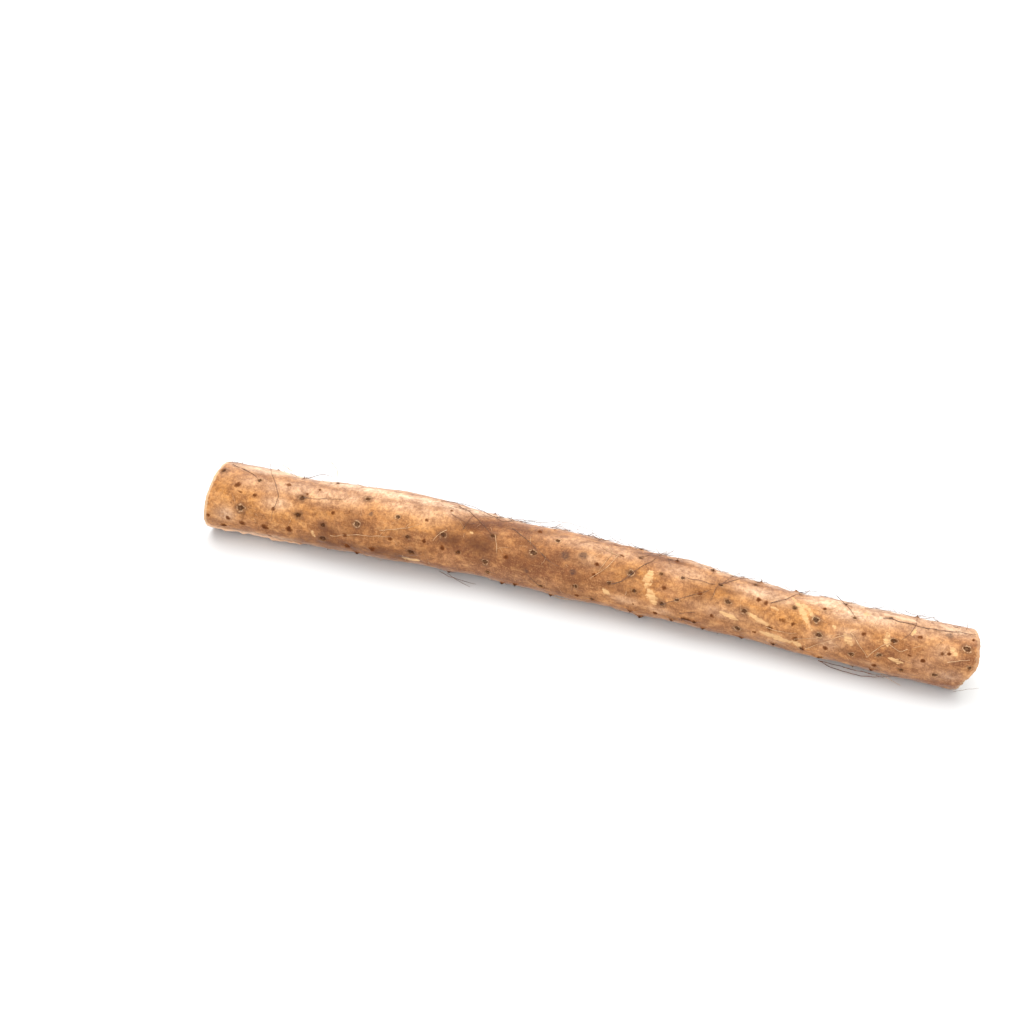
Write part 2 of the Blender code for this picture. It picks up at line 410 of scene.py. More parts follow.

# %% [markdown]
# ## Scrapes, stains, and painted highlight and shade
#
# Handling scraped the thin skin off in a few places, and the cream-coloured layer under it shows with a sharp
# edge. Stains are the opposite: soft, dark patches where the root lay damp. A row of them along the lower
# edge near the thick end is painted shade. Both are placed like the scars. A scrape is a short stroke from
# one place to another with a width, and a stain is an oval dab. Golden and pale patches are dabs too; the
# pale ones are partly pale dry skin and partly painted highlight along the upper edge and the lower lip near
# the thick end. A fold of loose skin is a stroke or a chain of strokes. The hidden side gets its scrapes and
# dabs by chance.

# %% Places of scrapes and dabs
# Each scrape: where it starts, where it ends, and its half width in millimetres
SCRAPES = (
    (651, 571, 646, 587, 3.0), (649, 590, 655, 604, 3.2), (603, 589, 609, 595, 2.0),
    (720, 612, 738, 620, 1.6), (746, 612, 771, 627, 1.5), (760, 632, 790, 642, 2.2),
    (792, 597, 812, 630, 1.8), (802, 603, 815, 618, 1.5), (793, 641, 801, 647, 1.9),
    (844, 634, 852, 645, 2.3), (888, 633, 887, 646, 2.1), (951, 647, 957, 656, 1.7),
    (864, 613, 870, 615, 1.8), (889, 658, 902, 663, 1.7), (402, 558, 420, 561, 2.3),
    (470, 532, 473, 533, 1.3), (833, 625, 836, 629, 1.2), (912, 635, 916, 629, 1.3),
    (311, 530, 315, 537, 1.2), (771, 607, 779, 610, 1.0),
)
# Each dab of the next three lists: its place, its half length along the root and its half width round it in
# millimetres, and its strength
# Stains, and painted shade along the lower edge near the thick end
STAINS_AND_SHADE = (
    (470, 526, 9, 5, 1.0), (452, 540, 9, 6, 1.0), (479, 546, 14, 8, 1.0), (484, 525, 9, 4, 0.9),
    (500, 525, 10, 4, 0.8), (524, 530, 11, 4, 0.8), (528, 541, 12, 5, 0.6), (549, 533, 10, 3, 0.6),
    (478, 560, 10, 4, 0.55), (352, 517, 8, 5, 0.5), (725, 590, 8, 4, 0.6), (777, 602, 7, 4, 0.4),
    (750, 619, 8, 5, 0.4), (900, 656, 9, 5, 0.4), (800, 594, 6, 3, 0.5), (675, 618, 8, 3, 0.7),
    (225, 486, 6, 5, 0.2), (225, 531, 8, 2, 0.5), (300, 545, 8, 3, 0.6), (492, 570, 12, 5, 0.1),
    (545, 560, 16, 8, 0.6), (520, 562, 12, 8, 0.6), (575, 577, 13, 6, 0.45), (592, 572, 9, 5, 0.3),
    (552, 583, 10, 4, 0.2), (357, 526, 9, 6, 0.6), (328, 531, 9, 5, 0.8), (350, 533, 12, 6, 0.5),
    (402, 535, 12, 6, 0.3), (425, 551, 8, 4, 0.5), (330, 528, 10, 5, 0.5), (306, 541, 10, 4, 0.7),
    (328, 543, 12, 6, 0.9), (352, 547, 12, 6, 0.9), (378, 552, 12, 6, 0.9), (400, 556, 10, 6, 0.9),
    (620, 588, 12, 5, 0.5), (632, 590, 9, 5, 0.3), (652, 556, 10, 3, 0.6), (676, 562, 10, 3, 0.6),
    (700, 595, 8, 5, 0.5), (752, 583, 8, 3, 0.4), (800, 595, 6, 3, 0.4), (850, 649, 10, 5, 0.3),
    (905, 655, 9, 6, 0.3), (950, 666, 8, 6, 0.3), (245, 512, 6, 4, 0.3), (600, 568, 8, 4, 0.5),
    (735, 632, 12, 4, 0.2), (900, 676, 14, 4, 0.1), (560, 592, 16, 5, 0.5), (520, 550, 8, 5, 0.4),
    (310, 520, 6, 4, 0.3), (935, 682, 12, 4, 0.2), (875, 668, 12, 4, 0.3), (780, 645, 10, 3, 0.4),
    (325, 515, 10, 5, 0.3), (500, 541, 10, 5, 0.4), (577, 560, 12, 5, 0.45), (625, 575, 10, 5, 0.3),
)
GOLDS = (
    (238, 500, 22, 12, 1.0), (285, 510, 18, 9, 0.9), (325, 513, 14, 6, 0.8), (425, 524, 14, 6, 0.8),
    (505, 546, 12, 6, 0.4), (592, 560, 12, 6, 0.6), (640, 576, 16, 8, 0.7), (735, 600, 30, 9, 0.9),
    (785, 612, 26, 9, 0.9), (860, 632, 24, 7, 0.6), (915, 642, 20, 8, 0.5), (835, 618, 16, 6, 0.6),
    (226, 490, 10, 8, 1.0), (935, 641, 10, 6, 0.8), (330, 500, 34, 5, 0.7), (455, 528, 12, 6, 0.6),
    (285, 489, 16, 6, 0.7), (400, 511, 30, 5, 0.7), (232, 478, 10, 6, 0.8), (952, 652, 8, 5, 0.8),
)
# Pale dabs: pale dry skin, and painted highlight along the upper edge and the lower lip near the thick end
PALES_AND_HIGHLIGHTS = (
    (240, 465, 8, 3, 0.6), (262, 470, 14, 4, 1.0), (290, 475, 16, 4, 1.0), (318, 479, 16, 4, 1.0),
    (345, 485, 16, 4, 1.0), (372, 490, 16, 4, 1.0), (400, 496, 16, 4, 1.0), (428, 501, 14, 4, 1.0),
    (452, 507, 12, 3, 0.9), (474, 511, 10, 3, 1.0), (500, 517, 12, 3, 1.0), (575, 531, 12, 3, 0.3),
    (608, 541, 14, 3, 0.7), (640, 549, 10, 3, 0.5), (705, 567, 16, 3, 0.7), (732, 575, 14, 3, 0.7),
    (765, 584, 12, 3, 0.6), (812, 596, 14, 3, 0.5), (835, 602, 14, 3, 1.0), (862, 606, 14, 4, 1.0),
    (890, 611, 14, 4, 1.0), (918, 618, 14, 3, 0.9), (945, 625, 12, 3, 0.6), (226, 474, 6, 4, 0.2),
    (250, 481, 12, 6, 0.3), (275, 485, 12, 6, 0.4), (300, 489, 14, 6, 0.5), (325, 495, 12, 6, 0.5),
    (350, 498, 12, 6, 0.5), (378, 498, 12, 4, 0.4), (402, 506, 14, 5, 0.5), (428, 513, 12, 6, 0.4),
    (452, 513, 10, 4, 0.5), (277, 503, 8, 4, 0.6), (600, 548, 30, 5, 0.4), (685, 572, 14, 5, 0.5),
    (757, 592, 14, 5, 0.7), (777, 598, 12, 5, 0.6), (800, 604, 12, 4, 0.2), (825, 603, 14, 4, 0.9),
    (850, 612, 14, 6, 0.9), (877, 617, 14, 6, 0.8), (905, 618, 14, 5, 0.7), (927, 631, 12, 6, 0.4),
    (952, 630, 12, 5, 0.8), (850, 634, 8, 4, 0.4), (925, 665, 10, 4, 0.2), (212, 526, 6, 2, 0.9),
    (232, 530, 12, 2, 0.9), (256, 534, 12, 3, 0.9), (280, 538, 10, 2, 0.7), (226, 513, 6, 5, 0.6),
    (775, 642, 9, 3, 0.4), (826, 642, 8, 4, 0.5), (950, 677, 8, 4, 0.4), (944, 652, 6, 5, 0.4),
    (625, 600, 9, 3, 0.4), (660, 611, 8, 3, 0.4), (725, 628, 12, 3, 0.1), (900, 672, 8, 3, 0.1),
    (875, 666, 9, 3, 0.2), (475, 512, 8, 3, 1.0), (725, 612, 20, 5, 0.3), (520, 578, 40, 4, 0.1),
    (650, 606, 40, 4, 0.1), (770, 636, 26, 4, 0.15), (262, 536, 14, 3, 0.8), (590, 560, 8, 4, 0.4),
)
# Each ridge of loose skin: where it starts, where it ends, and its half width in millimetres
RIDGES = (
    (207, 524, 226, 529, 1.1), (226, 529, 246, 533, 1.6), (244, 533, 272, 538, 1.7),
    (272, 538, 300, 543, 1.2), (886, 615, 915, 622, 0.9),
)
dab_count = len(STAINS_AND_SHADE) + len(GOLDS) + len(PALES_AND_HIGHLIGHTS)
stroke_count = len(SCRAPES) + len(RIDGES)
print("Read from the picture:", stroke_count, "strokes and", dab_count, "dabs")

# %% Scrapes and dabs on the skin
HALF_WIDTH = 4  # which number of a stroke is its half width
HIDDEN_SCRAPES = 14
SCRAPE_SHARES = (0.03, 0.97)
SCRAPE_RUN = 0.03
SCRAPE_TURN = 0.25
SCRAPE_HALF_WIDTHS = (0.0009, 0.0020)
HIDDEN_DABS = 26
DAB_SHARES = (0.02, 0.98)
DAB_HALF_LENGTHS = (0.008, 0.030)
DAB_HALF_WIDTHS = (0.005, 0.012)
DAB_STRENGTHS = (0.2, 0.6)
DAB_FACING = -0.1  # a dab by chance lies where its skin faces the camera less than this
MARK_SEED = 23
FULL_TURN = (0, 2 * math.pi)


def seen_dabs(dabs):
    """Dabs at these places in the picture, each with its half length and half width in metres."""
    return [(*seen_place(x, y), long / 1000, wide / 1000, strength) for x, y, long, wide, strength in dabs]


def seen_strokes(strokes):
    """Strokes between these places in the picture, each with its half width in metres."""
    return [(*seen_place(x0, y0), *seen_place(x1, y1), half / 1000) for x0, y0, x1, y1, half in strokes]


stains_and_shade, golds, pales_and_highlights = seen_dabs(STAINS_AND_SHADE), seen_dabs(GOLDS), seen_dabs(PALES_AND_HIGHLIGHTS)
scrapes, ridges = seen_strokes(SCRAPES), seen_strokes(RIDGES)
draw = random.Random(MARK_SEED)
while len(scrapes) < len(SCRAPES) + HIDDEN_SCRAPES:
    share, angle = draw.uniform(*SCRAPE_SHARES), draw.uniform(*FULL_TURN)
    run, turn = draw.uniform(-SCRAPE_RUN, SCRAPE_RUN), draw.uniform(-SCRAPE_TURN, SCRAPE_TURN)
    half = draw.uniform(*SCRAPE_HALF_WIDTHS)
    if facing_camera(share, angle) < 0:
        scrapes.append((share, angle, share + run, angle + turn, half))
for dabs in (stains_and_shade, golds, pales_and_highlights):
    wanted = len(dabs) + HIDDEN_DABS // 2
    while len(dabs) < wanted:
        share, angle = draw.uniform(*DAB_SHARES), draw.uniform(*FULL_TURN)
        long, wide = draw.uniform(*DAB_HALF_LENGTHS), draw.uniform(*DAB_HALF_WIDTHS)
        strength = draw.uniform(*DAB_STRENGTHS)
        if facing_camera(share, angle) < DAB_FACING:
            dabs.append((share, angle, long, wide, strength))
print(len(scrapes), "scrapes,", len(stains_and_shade), "stains,", len(golds), "golden and", len(pales_and_highlights), "pale dabs")

# %% [markdown]
# ## The skin: a cylinder with many rings
#
# The body could be modelled by hand with extrusions, but a root has no corners to hold on to. It is simpler
# to start from a cylinder, cut its long edges into many rings in edit mode, and move the points to the form
# afterwards. The end faces are inset again and again, which gives the flat flesh its own rings of faces.

# %% Add the cylinder and cut it into rings
SIDES = 96
RINGS = 360
MEAN_RADIUS = 0.016
END_INSETS = 9
FIRST_INSET = 0.25  # the narrow first inset, which makes the rim, as a share of the others


def only_select(thing):
    bpy.ops.object.select_all(action="DESELECT")
    thing.select_set(True)
    bpy.context.view_layer.objects.active = thing


def select_in_mesh(thing, verts=None, edges=None, faces=None):
    """Select points, edges or faces by a mask, with everything else deselected, and open edit mode."""
    mesh = thing.data
    for items, mask in ((mesh.vertices, verts), (mesh.edges, edges), (mesh.polygons, faces)):
        chosen = np.zeros(len(items), bool) if mask is None else np.asarray(mask)
        items.foreach_set("select", chosen)
    bpy.context.tool_settings.mesh_select_mode = (verts is not None, edges is not None, faces is not None)
    bpy.ops.object.mode_set(mode="EDIT")


def points_of(thing):
    places = np.empty(len(thing.data.vertices) * 3)
    thing.data.vertices.foreach_get("co", places)
    return places.reshape(-1, 3)


bpy.ops.object.select_all(action="DESELECT")
bpy.ops.mesh.primitive_cylinder_add(
    vertices=SIDES,
    radius=MEAN_RADIUS,
    depth=LENGTH,
    end_fill_type="NGON",
    rotation=(0.0, math.pi / 2, 0.0),
)
skin = bpy.context.active_object
skin.name = skin.data.name = "skin"
bpy.ops.object.transform_apply(location=True, rotation=True, scale=True)

places = points_of(skin)
edge_ends = np.array([edge.vertices[:] for edge in skin.data.edges])
runs_along = np.abs(places[edge_ends[:, 0], 0] - places[edge_ends[:, 1], 0]) > LENGTH / 2
select_in_mesh(skin, edges=runs_along)
bpy.ops.mesh.subdivide(number_cuts=RINGS - 1)
bpy.ops.object.mode_set(mode="OBJECT")
print("The cylinder has", len(skin.data.polygons), "faces")

# %% Inset the cut faces
side_counts = np.array([len(face.vertices) for face in skin.data.polygons])
select_in_mesh(skin, faces=side_counts == SIDES)
ring_width = MEAN_RADIUS / (END_INSETS + 1)
bpy.ops.mesh.inset(thickness=ring_width * FIRST_INSET, use_individual=True)
for _ in range(END_INSETS - 1):
    bpy.ops.mesh.inset(thickness=ring_width, use_individual=True)
bpy.ops.mesh.poke()
bpy.ops.object.mode_set(mode="OBJECT")
print("With the insets it has", len(skin.data.polygons), "faces")

# %% [markdown]
# ## Finer faces where there are marks
#
# A scar is three or four millimetres wide, so faces of one millimetre can't hold its ring. Cutting the
# whole skin finer would take nine times as many faces. Only the faces near a scar, a scrape or a fold of
# loose skin are subdivided, while the skin is still a plain cylinder, where it is easy to say how far a
# face is from a mark.

# %% Subdivide the faces near the marks
SCAR_REACH = 0.0021  # radius of a scar of size 1, with the slope round it
SCRAPE_BORDER = 0.0009
CUTS_NEAR_MARKS = 2
SKIN_FILLING = 0.99  # points with a filling above this are on the skin


def cylinder_places(places):
    """Share of the length, angle and filling of points on the plain cylinder. Filling is 1 on its skin."""
    share = places[:, 0] / LENGTH + 0.5
    angle = np.arctan2(places[:, 2], places[:, 1])
    filling = np.hypot(places[:, 1], places[:, 2]) / MEAN_RADIUS
    return share, angle, np.where(filling > SKIN_FILLING, 1.0, filling)


def beside_stroke(share, angle, stroke):
    """Distance over the skin from points to a stroke, and how far along the stroke they are, from 0 to 1."""
    start_share, start_angle, end_share, end_angle, _ = stroke
    radius = radius_at(start_share)
    across = turn_from(start_angle, angle) * radius
    down = (share - start_share) * LENGTH
    run = (end_share - start_share) * LENGTH
    rise = turn_from(start_angle, end_angle) * radius
    t = np.clip((down * run + across * rise) / (run**2 + rise**2 + 1e-12), 0, 1)
    return np.hypot(down - t * run, across - t * rise), t


centres = np.array([face.center[:] for face in skin.data.polygons])
share, angle, filling = cylinder_places(centres)
near_mark = np.zeros(len(centres), bool)
for scar in eyes + dots + nubs + smudges:
    near_mark |= unrolled_distance(share, angle, scar) < SCAR_REACH * scar[SIZE]
for stroke in scrapes + ridges:
    away, _ = beside_stroke(share, angle, stroke)
    near_mark |= away < stroke[HALF_WIDTH] + SCRAPE_BORDER
near_mark &= filling > SKIN_FILLING
select_in_mesh(skin, faces=near_mark)
bpy.ops.mesh.subdivide(number_cuts=CUTS_NEAR_MARKS)
bpy.ops.object.mode_set(mode="OBJECT")
triangles = sum(len(face.vertices) - 2 for face in skin.data.polygons)
print(int(near_mark.sum()), "faces were cut finer, and the skin now has", triangles, "triangles")

# %% [markdown]
# ## Moving the skin to its form
#
# Every point of the cylinder knows its share of the length and its angle, so one call of the rule puts it
# on the root. The relief is added on the way: small folds of the drying skin, a raised ring with a hollow
# for each eye, a low bump for each dot, a tall one for each nub, a shallow dip for each scrape and a welt
# for loose skin. Sculpting would do it too, but each scar would then be work by hand.

# %% Small folds of the drying skin
FOLD_COUNT = 40
FOLD_HEIGHT = 0.000034
MOST_FOLD_LOBES = 16
FOLD_CYCLES = (10, 75)
FOLD_SEED = 31

share, angle, filling = cylinder_places(points_of(skin))
on_skin = filling > SKIN_FILLING


def fold_relief(share, angle):
    """Small folds of the drying skin, as many short waves in all directions."""
    draw = random.Random(FOLD_SEED)
    relief = np.zeros(len(share))
    for _ in range(FOLD_COUNT):
        lobes = draw.randint(-MOST_FOLD_LOBES, MOST_FOLD_LOBES)
        cycles = draw.uniform(*FOLD_CYCLES)
        phase = draw.uniform(0, 2 * math.pi)
        relief += np.cos(lobes * angle + 2 * np.pi * cycles * share + phase)
    return relief * FOLD_HEIGHT


relief = fold_relief(share, angle)
print("The folds go from", round(relief.min() * 1000, 2), "to", round(relief.max() * 1000, 2), "mm")

# %% Relief of the scars, scrapes and loose skin
EYE_STRETCH = 1.10  # an eye is a little longer along the root than round it
EYE_RING_AT = 0.00125
EYE_RING_WIDTH = 0.00045
EYE_HEIGHT = 0.00026
EYE_HOLLOW = 0.00028
EYE_HOLLOW_WIDTH = 0.0009
DOT_HEIGHT = 0.00016
DOT_WIDTH = 0.0009
NUB_HEIGHT = 0.00115
NUB_WIDTH = 0.00095
SCRAPE_DEPTH = 0.00010
RIDGE_HEIGHT = 0.0006

for scar in eyes:
    away = unrolled_distance(share, angle, scar, EYE_STRETCH) / scar[SIZE]
    relief += EYE_HEIGHT * scar[SIZE] * np.exp(-(((away - EYE_RING_AT) / EYE_RING_WIDTH) ** 2))
    relief -= EYE_HOLLOW * scar[SIZE] * np.exp(-((away / EYE_HOLLOW_WIDTH) ** 4))
for scar in dots:
    away = unrolled_distance(share, angle, scar) / scar[SIZE]
    relief += DOT_HEIGHT * scar[SIZE] * np.exp(-((away / DOT_WIDTH) ** 2))
for scar in nubs:
    away = unrolled_distance(share, angle, scar) / scar[SIZE]
    relief += NUB_HEIGHT * scar[SIZE] * np.exp(-((away / NUB_WIDTH) ** 2))
for scrape in scrapes:
    away, _ = beside_stroke(share, angle, scrape)
    relief -= SCRAPE_DEPTH * np.clip(2 - 2 * away / scrape[HALF_WIDTH], 0, 1)
for ridge in ridges:
    away, _ = beside_stroke(share, angle, ridge)
    relief += RIDGE_HEIGHT * np.exp(-((away / ridge[HALF_WIDTH]) ** 2))
print("The relief goes from", round(relief.min() * 1000, 2), "to", round(relief.max() * 1000, 2), "mm")

# %% [markdown]
# ## The cut ends
#
# A knife leaves a sharp rim, but the skin tears a little with it, and the moist flesh bulges a little
# inside it. At the thin end a bit was broken off and left a notch at the bottom corner. These are small
# moves of the points near the ends, all by falloff: full at one place and nothing some millimetres away.

# %% Notch, ragged rim and crowned flesh
NOTCH_ANGLE = math.radians(205)
NOTCH_HALF_ANGLE = math.radians(50)
NOTCH_DEPTH = 0.0034
NOTCH_REACH = 0.045  # share of the length over which the notch fades out
NOTCH_STEEPNESS = 1.6
NOTCH_START = 0.55  # filling from which the notch begins to cut in
# Each ripple of the notch: its height as a share of the depth, its waves in a turn, and where it starts
NOTCH_RIPPLES = ((0.07, 17, 2), (0.04, 41, 1))
RIM_RAGGED = 0.00008
RIM_RIPPLES = ((23, 0), (41, 2), (9, 4))  # waves in a turn, and where each ripple starts
FLESH_CROWN = 0.0007
FLESH_UNEVEN = 0.00018
UNEVEN_WAVES = (900, 700)  # radians in a metre, sideways and upwards
RIM_FILLING = 0.98
CUT_SHARE = 1e-4  # points whose share is this close to an end are on its cut face
SHARPEST_SMOOTH_EDGE = math.radians(50)


def notch_shift(share, angle, filling):
    """How far the thin end is drawn back along X where a bit broke off."""
    turn = turn_from(NOTCH_ANGLE, angle)
    beside = np.clip(1 - np.abs(turn) / NOTCH_HALF_ANGLE, 0, 1)
    step = np.clip(beside * NOTCH_STEEPNESS, 0, 1)
    ragged = 1 + sum(height * np.sin(turn * waves + start) for height, waves, start in NOTCH_RIPPLES)
    fade = np.clip(1 - (1 - share) / NOTCH_REACH, 0, 1)
    inwards = np.clip((filling - NOTCH_START) / (1 - NOTCH_START), 0, 1)
    return NOTCH_DEPTH * step * ragged * fade**1.5 * inwards


moved = form_point(share, angle, filling, relief * on_skin)
moved[:, 0] -= notch_shift(share, angle, filling)
for end, outwards in ((0.0, -1.0), (1.0, 1.0)):
    at_end = np.abs(share - end) < CUT_SHARE
    ragged = RIM_RAGGED * sum(np.sin(angle * waves + start) for waves, start in RIM_RIPPLES)
    crown = FLESH_CROWN * (1 - filling**4) * (filling < RIM_FILLING)
    sideways_waves, upward_waves = moved[:, 1] * UNEVEN_WAVES[0], moved[:, 2] * UNEVEN_WAVES[1]
    uneven = FLESH_UNEVEN * np.sin(sideways_waves) * np.sin(upward_waves)
    moved[:, 0] += at_end * outwards * (crown + ragged * filling**6 + uneven * (1 - filling))
moved[:, 2] = np.maximum(moved[:, 2], 0.0)
skin.data.vertices.foreach_set("co", moved.ravel())
skin.data.update()
only_select(skin)
bpy.ops.object.shade_smooth_by_angle(angle=SHARPEST_SMOOTH_EDGE)
print("Lowest point", moved[:, 2].min(), "and highest point", round(moved[:, 2].max() * 1000, 1), "mm")

# %% [markdown]
# ## Fields for the painter
#
# A material can ask each point for a number. Here the skin is told how far it is from the nearest scar of
# each kind, how deep it lies in a scrape, and how strong each dab is. The material turns these into rings
# and edges. An image would do that too, but the fields stay sharp at any distance.

# %% How the fields are worked out
FAR_AWAY = 0.02
FAR_OUTSIDE = -2.0
DAB_FALLOFF = 1.2


def store(name, values):
    field = skin.data.attributes.new(name, "FLOAT", "POINT")
    field.data.foreach_set("value", np.asarray(values, np.float32))


def store_scars(name, scars, stretch=1.0):
    """Store how far the nearest scar is, in millimetres for a scar of size 1, and how strong it is."""
    reach = np.full(len(share), FAR_AWAY)
    strength = np.zeros(len(share))
    for scar in scars:
        away = unrolled_distance(share, angle, scar, stretch) / scar[SIZE]
        nearer = away < reach
        reach[nearer] = away[nearer]
        strength[nearer] = scar[STRENGTH]
    store(name + "_reach", reach * 1000)
    store(name + "_strength", strength)


def dab_strength(dabs):
    """Soft oval dabs, each full in its middle."""
    strength = np.zeros(len(share))
    for place_share, place_angle, long, wide, most in dabs:
        down = (share - place_share) * LENGTH / long
        across = turn_from(place_angle, angle) * radius_at(place_share) / wide
        strength = np.maximum(strength, most * np.exp(-DAB_FALLOFF * (down**2 + across**2)))
    return strength


def stroke_strength(strokes, end_width=1.0):
    """1 on a stroke's middle line, 0 at its edge and below 0 outside it. Its ends can be narrower."""
    strength = np.full(len(share), FAR_OUTSIDE)
    for stroke in strokes:
        away, t = beside_stroke(share, angle, stroke)
        width = stroke[HALF_WIDTH] * (end_width + (1 - end_width) * np.sin(np.pi * t))
        strength = np.maximum(strength, 1 - away / width)
    return strength


print("Each field has", len(share), "numbers")

# %% Store the fields on the skin
HALO_SIZE = 1.25  # larger eyes have a grey halo
SCRAPE_END_WIDTH = 0.4
THICK_RIM_PALENESS = 0.6
THIN_RIM_PALENESS = 0.25

store_scars("eye", eyes, EYE_STRETCH)
store_scars("halo", [scar for scar in eyes if scar[SIZE] > HALO_SIZE])
store_scars("dot", dots)
store_scars("nub", nubs)
store_scars("smudge", smudges)
store("ridge", stroke_strength(ridges))
store("scrape", stroke_strength(scrapes, SCRAPE_END_WIDTH))
# The stain field also holds painted shade along the lower edge near the thick end
store("stain_and_shade", dab_strength(stains_and_shade))
store("gold", dab_strength(golds))
# The pale field also holds painted highlight along the upper edge and the lower lip near the thick end
store("pale", dab_strength(pales_and_highlights))
store("cut_distance", np.minimum(share, 1 - share) * LENGTH * 1000)
store("rim_paleness", np.where(share < 0.5, THICK_RIM_PALENESS, THIN_RIM_PALENESS))
store("filling", filling)
print("Stored", len(skin.data.attributes), "attributes on the skin")

# %% [markdown]
# ## Small helpers for materials
#
# Every material here is a tree of nodes. Adding a node takes several lines each time, so a few short helpers
# keep the trees readable. Colours are written as a painter picks them, from 0 to 255, and turned into the
# light values that Blender mixes.

# %% Helpers for node trees


def light(red, green, blue):
    """A picked colour as linear light, with full opacity."""
    parts = [part / 255 for part in (red, green, blue)]
    linear = [part / 12.92 if part <= 0.04045 else ((part + 0.055) / 1.055) ** 2.4 for part in parts]
    return (*linear, 1.0)


def add_node(tree, kind, inputs=(), **settings):
    """A new node, with its settings and its sockets filled by values or by other nodes' outputs."""
    node = tree.nodes.new(kind)
    for name, value in settings.items():
        setattr(node, name, value)
    for key, value in dict(inputs).items():
        if isinstance(value, bpy.types.NodeSocket):
            tree.links.new(value, node.inputs[key])
        else:
            node.inputs[key].default_value = value
    return node


def field_of(tree, name):
    return add_node(tree, "ShaderNodeAttribute", attribute_name=name).outputs["Fac"]


def calculate(tree, operation, first, second=0.0):
    return add_node(tree, "ShaderNodeMath", {0: first, 1: second}, operation=operation).outputs[0]


def step_between(tree, value, low, high, at_low=0.0, at_high=1.0):
    """A smooth step from one number to another while the value goes from low to high."""
    inputs = {"Value": value, "From Min": low, "From Max": high, "To Min": at_low, "To Max": at_high}
    return add_node(tree, "ShaderNodeMapRange", inputs, interpolation_type="SMOOTHSTEP").outputs[0]


def mix_colours(tree, factor, first, second, blend="MIX"):
    node = add_node(tree, "ShaderNodeMix", data_type="RGBA", blend_type=blend)
    for socket, value in ((node.inputs[0], factor), (node.inputs[6], first), (node.inputs[7], second)):
        if isinstance(value, bpy.types.NodeSocket):
            tree.links.new(value, socket)
        else:
            socket.default_value = value
    return node.outputs[2]


print("A picked grey of 128 is", round(light(128, 128, 128)[0], 3), "as linear light")

# %% [markdown]
# ## The skin's material
#
# The skin is a thin cork: ochre where it is clean, tan and pinkish where it is drier, brown where it was
# stained. Pale dabs along the upper edge are partly painted highlight, and brown dabs along the lower edge
# near the thick end are painted shade. The colour is built up in layers as a painter would: broad patches
# first, then flecks, fibres and stains, then scrapes, and last the scars with their rings. The same patterns
# drive the bump and the roughness too.

# %% Patterns of the skin


def noise(tree, per_metre, detail=3.0, stretch=(1.0, 1.0, 1.0), roughness=0.55, shift=0.0):
    """Noise over the object's own coordinates, with so many cells per metre."""
    coordinates = add_node(tree, "ShaderNodeTexCoord").outputs["Object"]
    inputs = {"Vector": coordinates, "Scale": stretch, "Location": (shift, shift, shift)}
    placed = add_node(tree, "ShaderNodeMapping", inputs).outputs[0]
    inputs = {"Vector": placed, "Scale": per_metre, "Detail": detail, "Roughness": roughness}
    return add_node(tree, "ShaderNodeTexNoise", inputs).outputs[0]


def new_material(name):
    material = bpy.data.materials.new(name)
    material.use_nodes = True
    return material, material.node_tree, material.node_tree.nodes["Principled BSDF"]


skin_material, tree, shader = new_material("yam_skin")
broad = noise(tree, 26, detail=4.0)
middle = noise(tree, 95, detail=5.0, stretch=(0.6, 1.0, 1.0), roughness=0.62, shift=3.0)
small = noise(tree, 270, detail=4.0, stretch=(0.6, 1.0, 1.0), roughness=0.62, shift=4.0)
flecks = noise(tree, 520, detail=3.0, shift=5.0)
grain = noise(tree, 1400, detail=3.0, shift=7.0)
print("The patterns took", len(tree.nodes), "nodes")

# %% Broad colours of the skin
OCHRE = light(165, 111, 63)
GOLD = light(184, 125, 60)
TAN = light(134, 85, 52)
PINKISH = light(172, 122, 82)
# Pale of dry skin, also used for painted highlight
PALE_SKIN_AND_HIGHLIGHT = light(221, 188, 157)
# Brown of stains, also used for painted shade
STAIN_AND_SHADE_BROWN = light(66, 30, 10)
STAIN_AND_SHADE_TINT = light(255, 244, 224)  # takes a little blue out of what it stains
WORN = light(99, 57, 32)
CLEAN_SKIN = light(195, 143, 90)


def paint_layers(tree, colour, layers):
    """Lay layers over a colour. Each has a pattern, a step in it, the strengths at its ends, and a paint."""
    for pattern, low, high, at_low, at_high, paint in layers:
        colour = mix_colours(tree, step_between(tree, pattern, low, high, at_low, at_high), colour, paint)
    return colour


colour = mix_colours(tree, step_between(tree, broad, 0.40, 0.60), TAN, OCHRE)
gold = calculate(tree, "MULTIPLY", field_of(tree, "gold"), step_between(tree, middle, 0.30, 0.60, 0.4, 1.0))
colour = mix_colours(tree, gold, colour, GOLD)
# Dry and worn patches are weaker where the skin is golden
not_golden = calculate(tree, "SUBTRACT", 1.0, calculate(tree, "MULTIPLY", field_of(tree, "gold"), 0.6))
dry = calculate(tree, "MULTIPLY", step_between(tree, middle, 0.50, 0.64, 0.0, 0.60), not_golden)
colour = mix_colours(tree, dry, colour, PINKISH)
patchy = calculate(tree, "MULTIPLY", step_between(tree, middle, 0.34, 0.52, 0.48, 0.0), not_golden)
colour = mix_colours(tree, patchy, colour, WORN)
colour = paint_layers(tree, colour, (
    (small, 0.38, 0.54, 0.46, 0.0, WORN),
    (small, 0.50, 0.66, 0.0, 0.46, CLEAN_SKIN),
))
# Pale dry skin, and painted highlight along the upper edge and the lower lip near the thick end
pale = calculate(tree, "MULTIPLY", field_of(tree, "pale"), step_between(tree, small, 0.30, 0.56, 0.45, 1.0))
colour = mix_colours(tree, pale, colour, PALE_SKIN_AND_HIGHLIGHT)
print("With the broad colours the tree has", len(tree.nodes), "nodes")

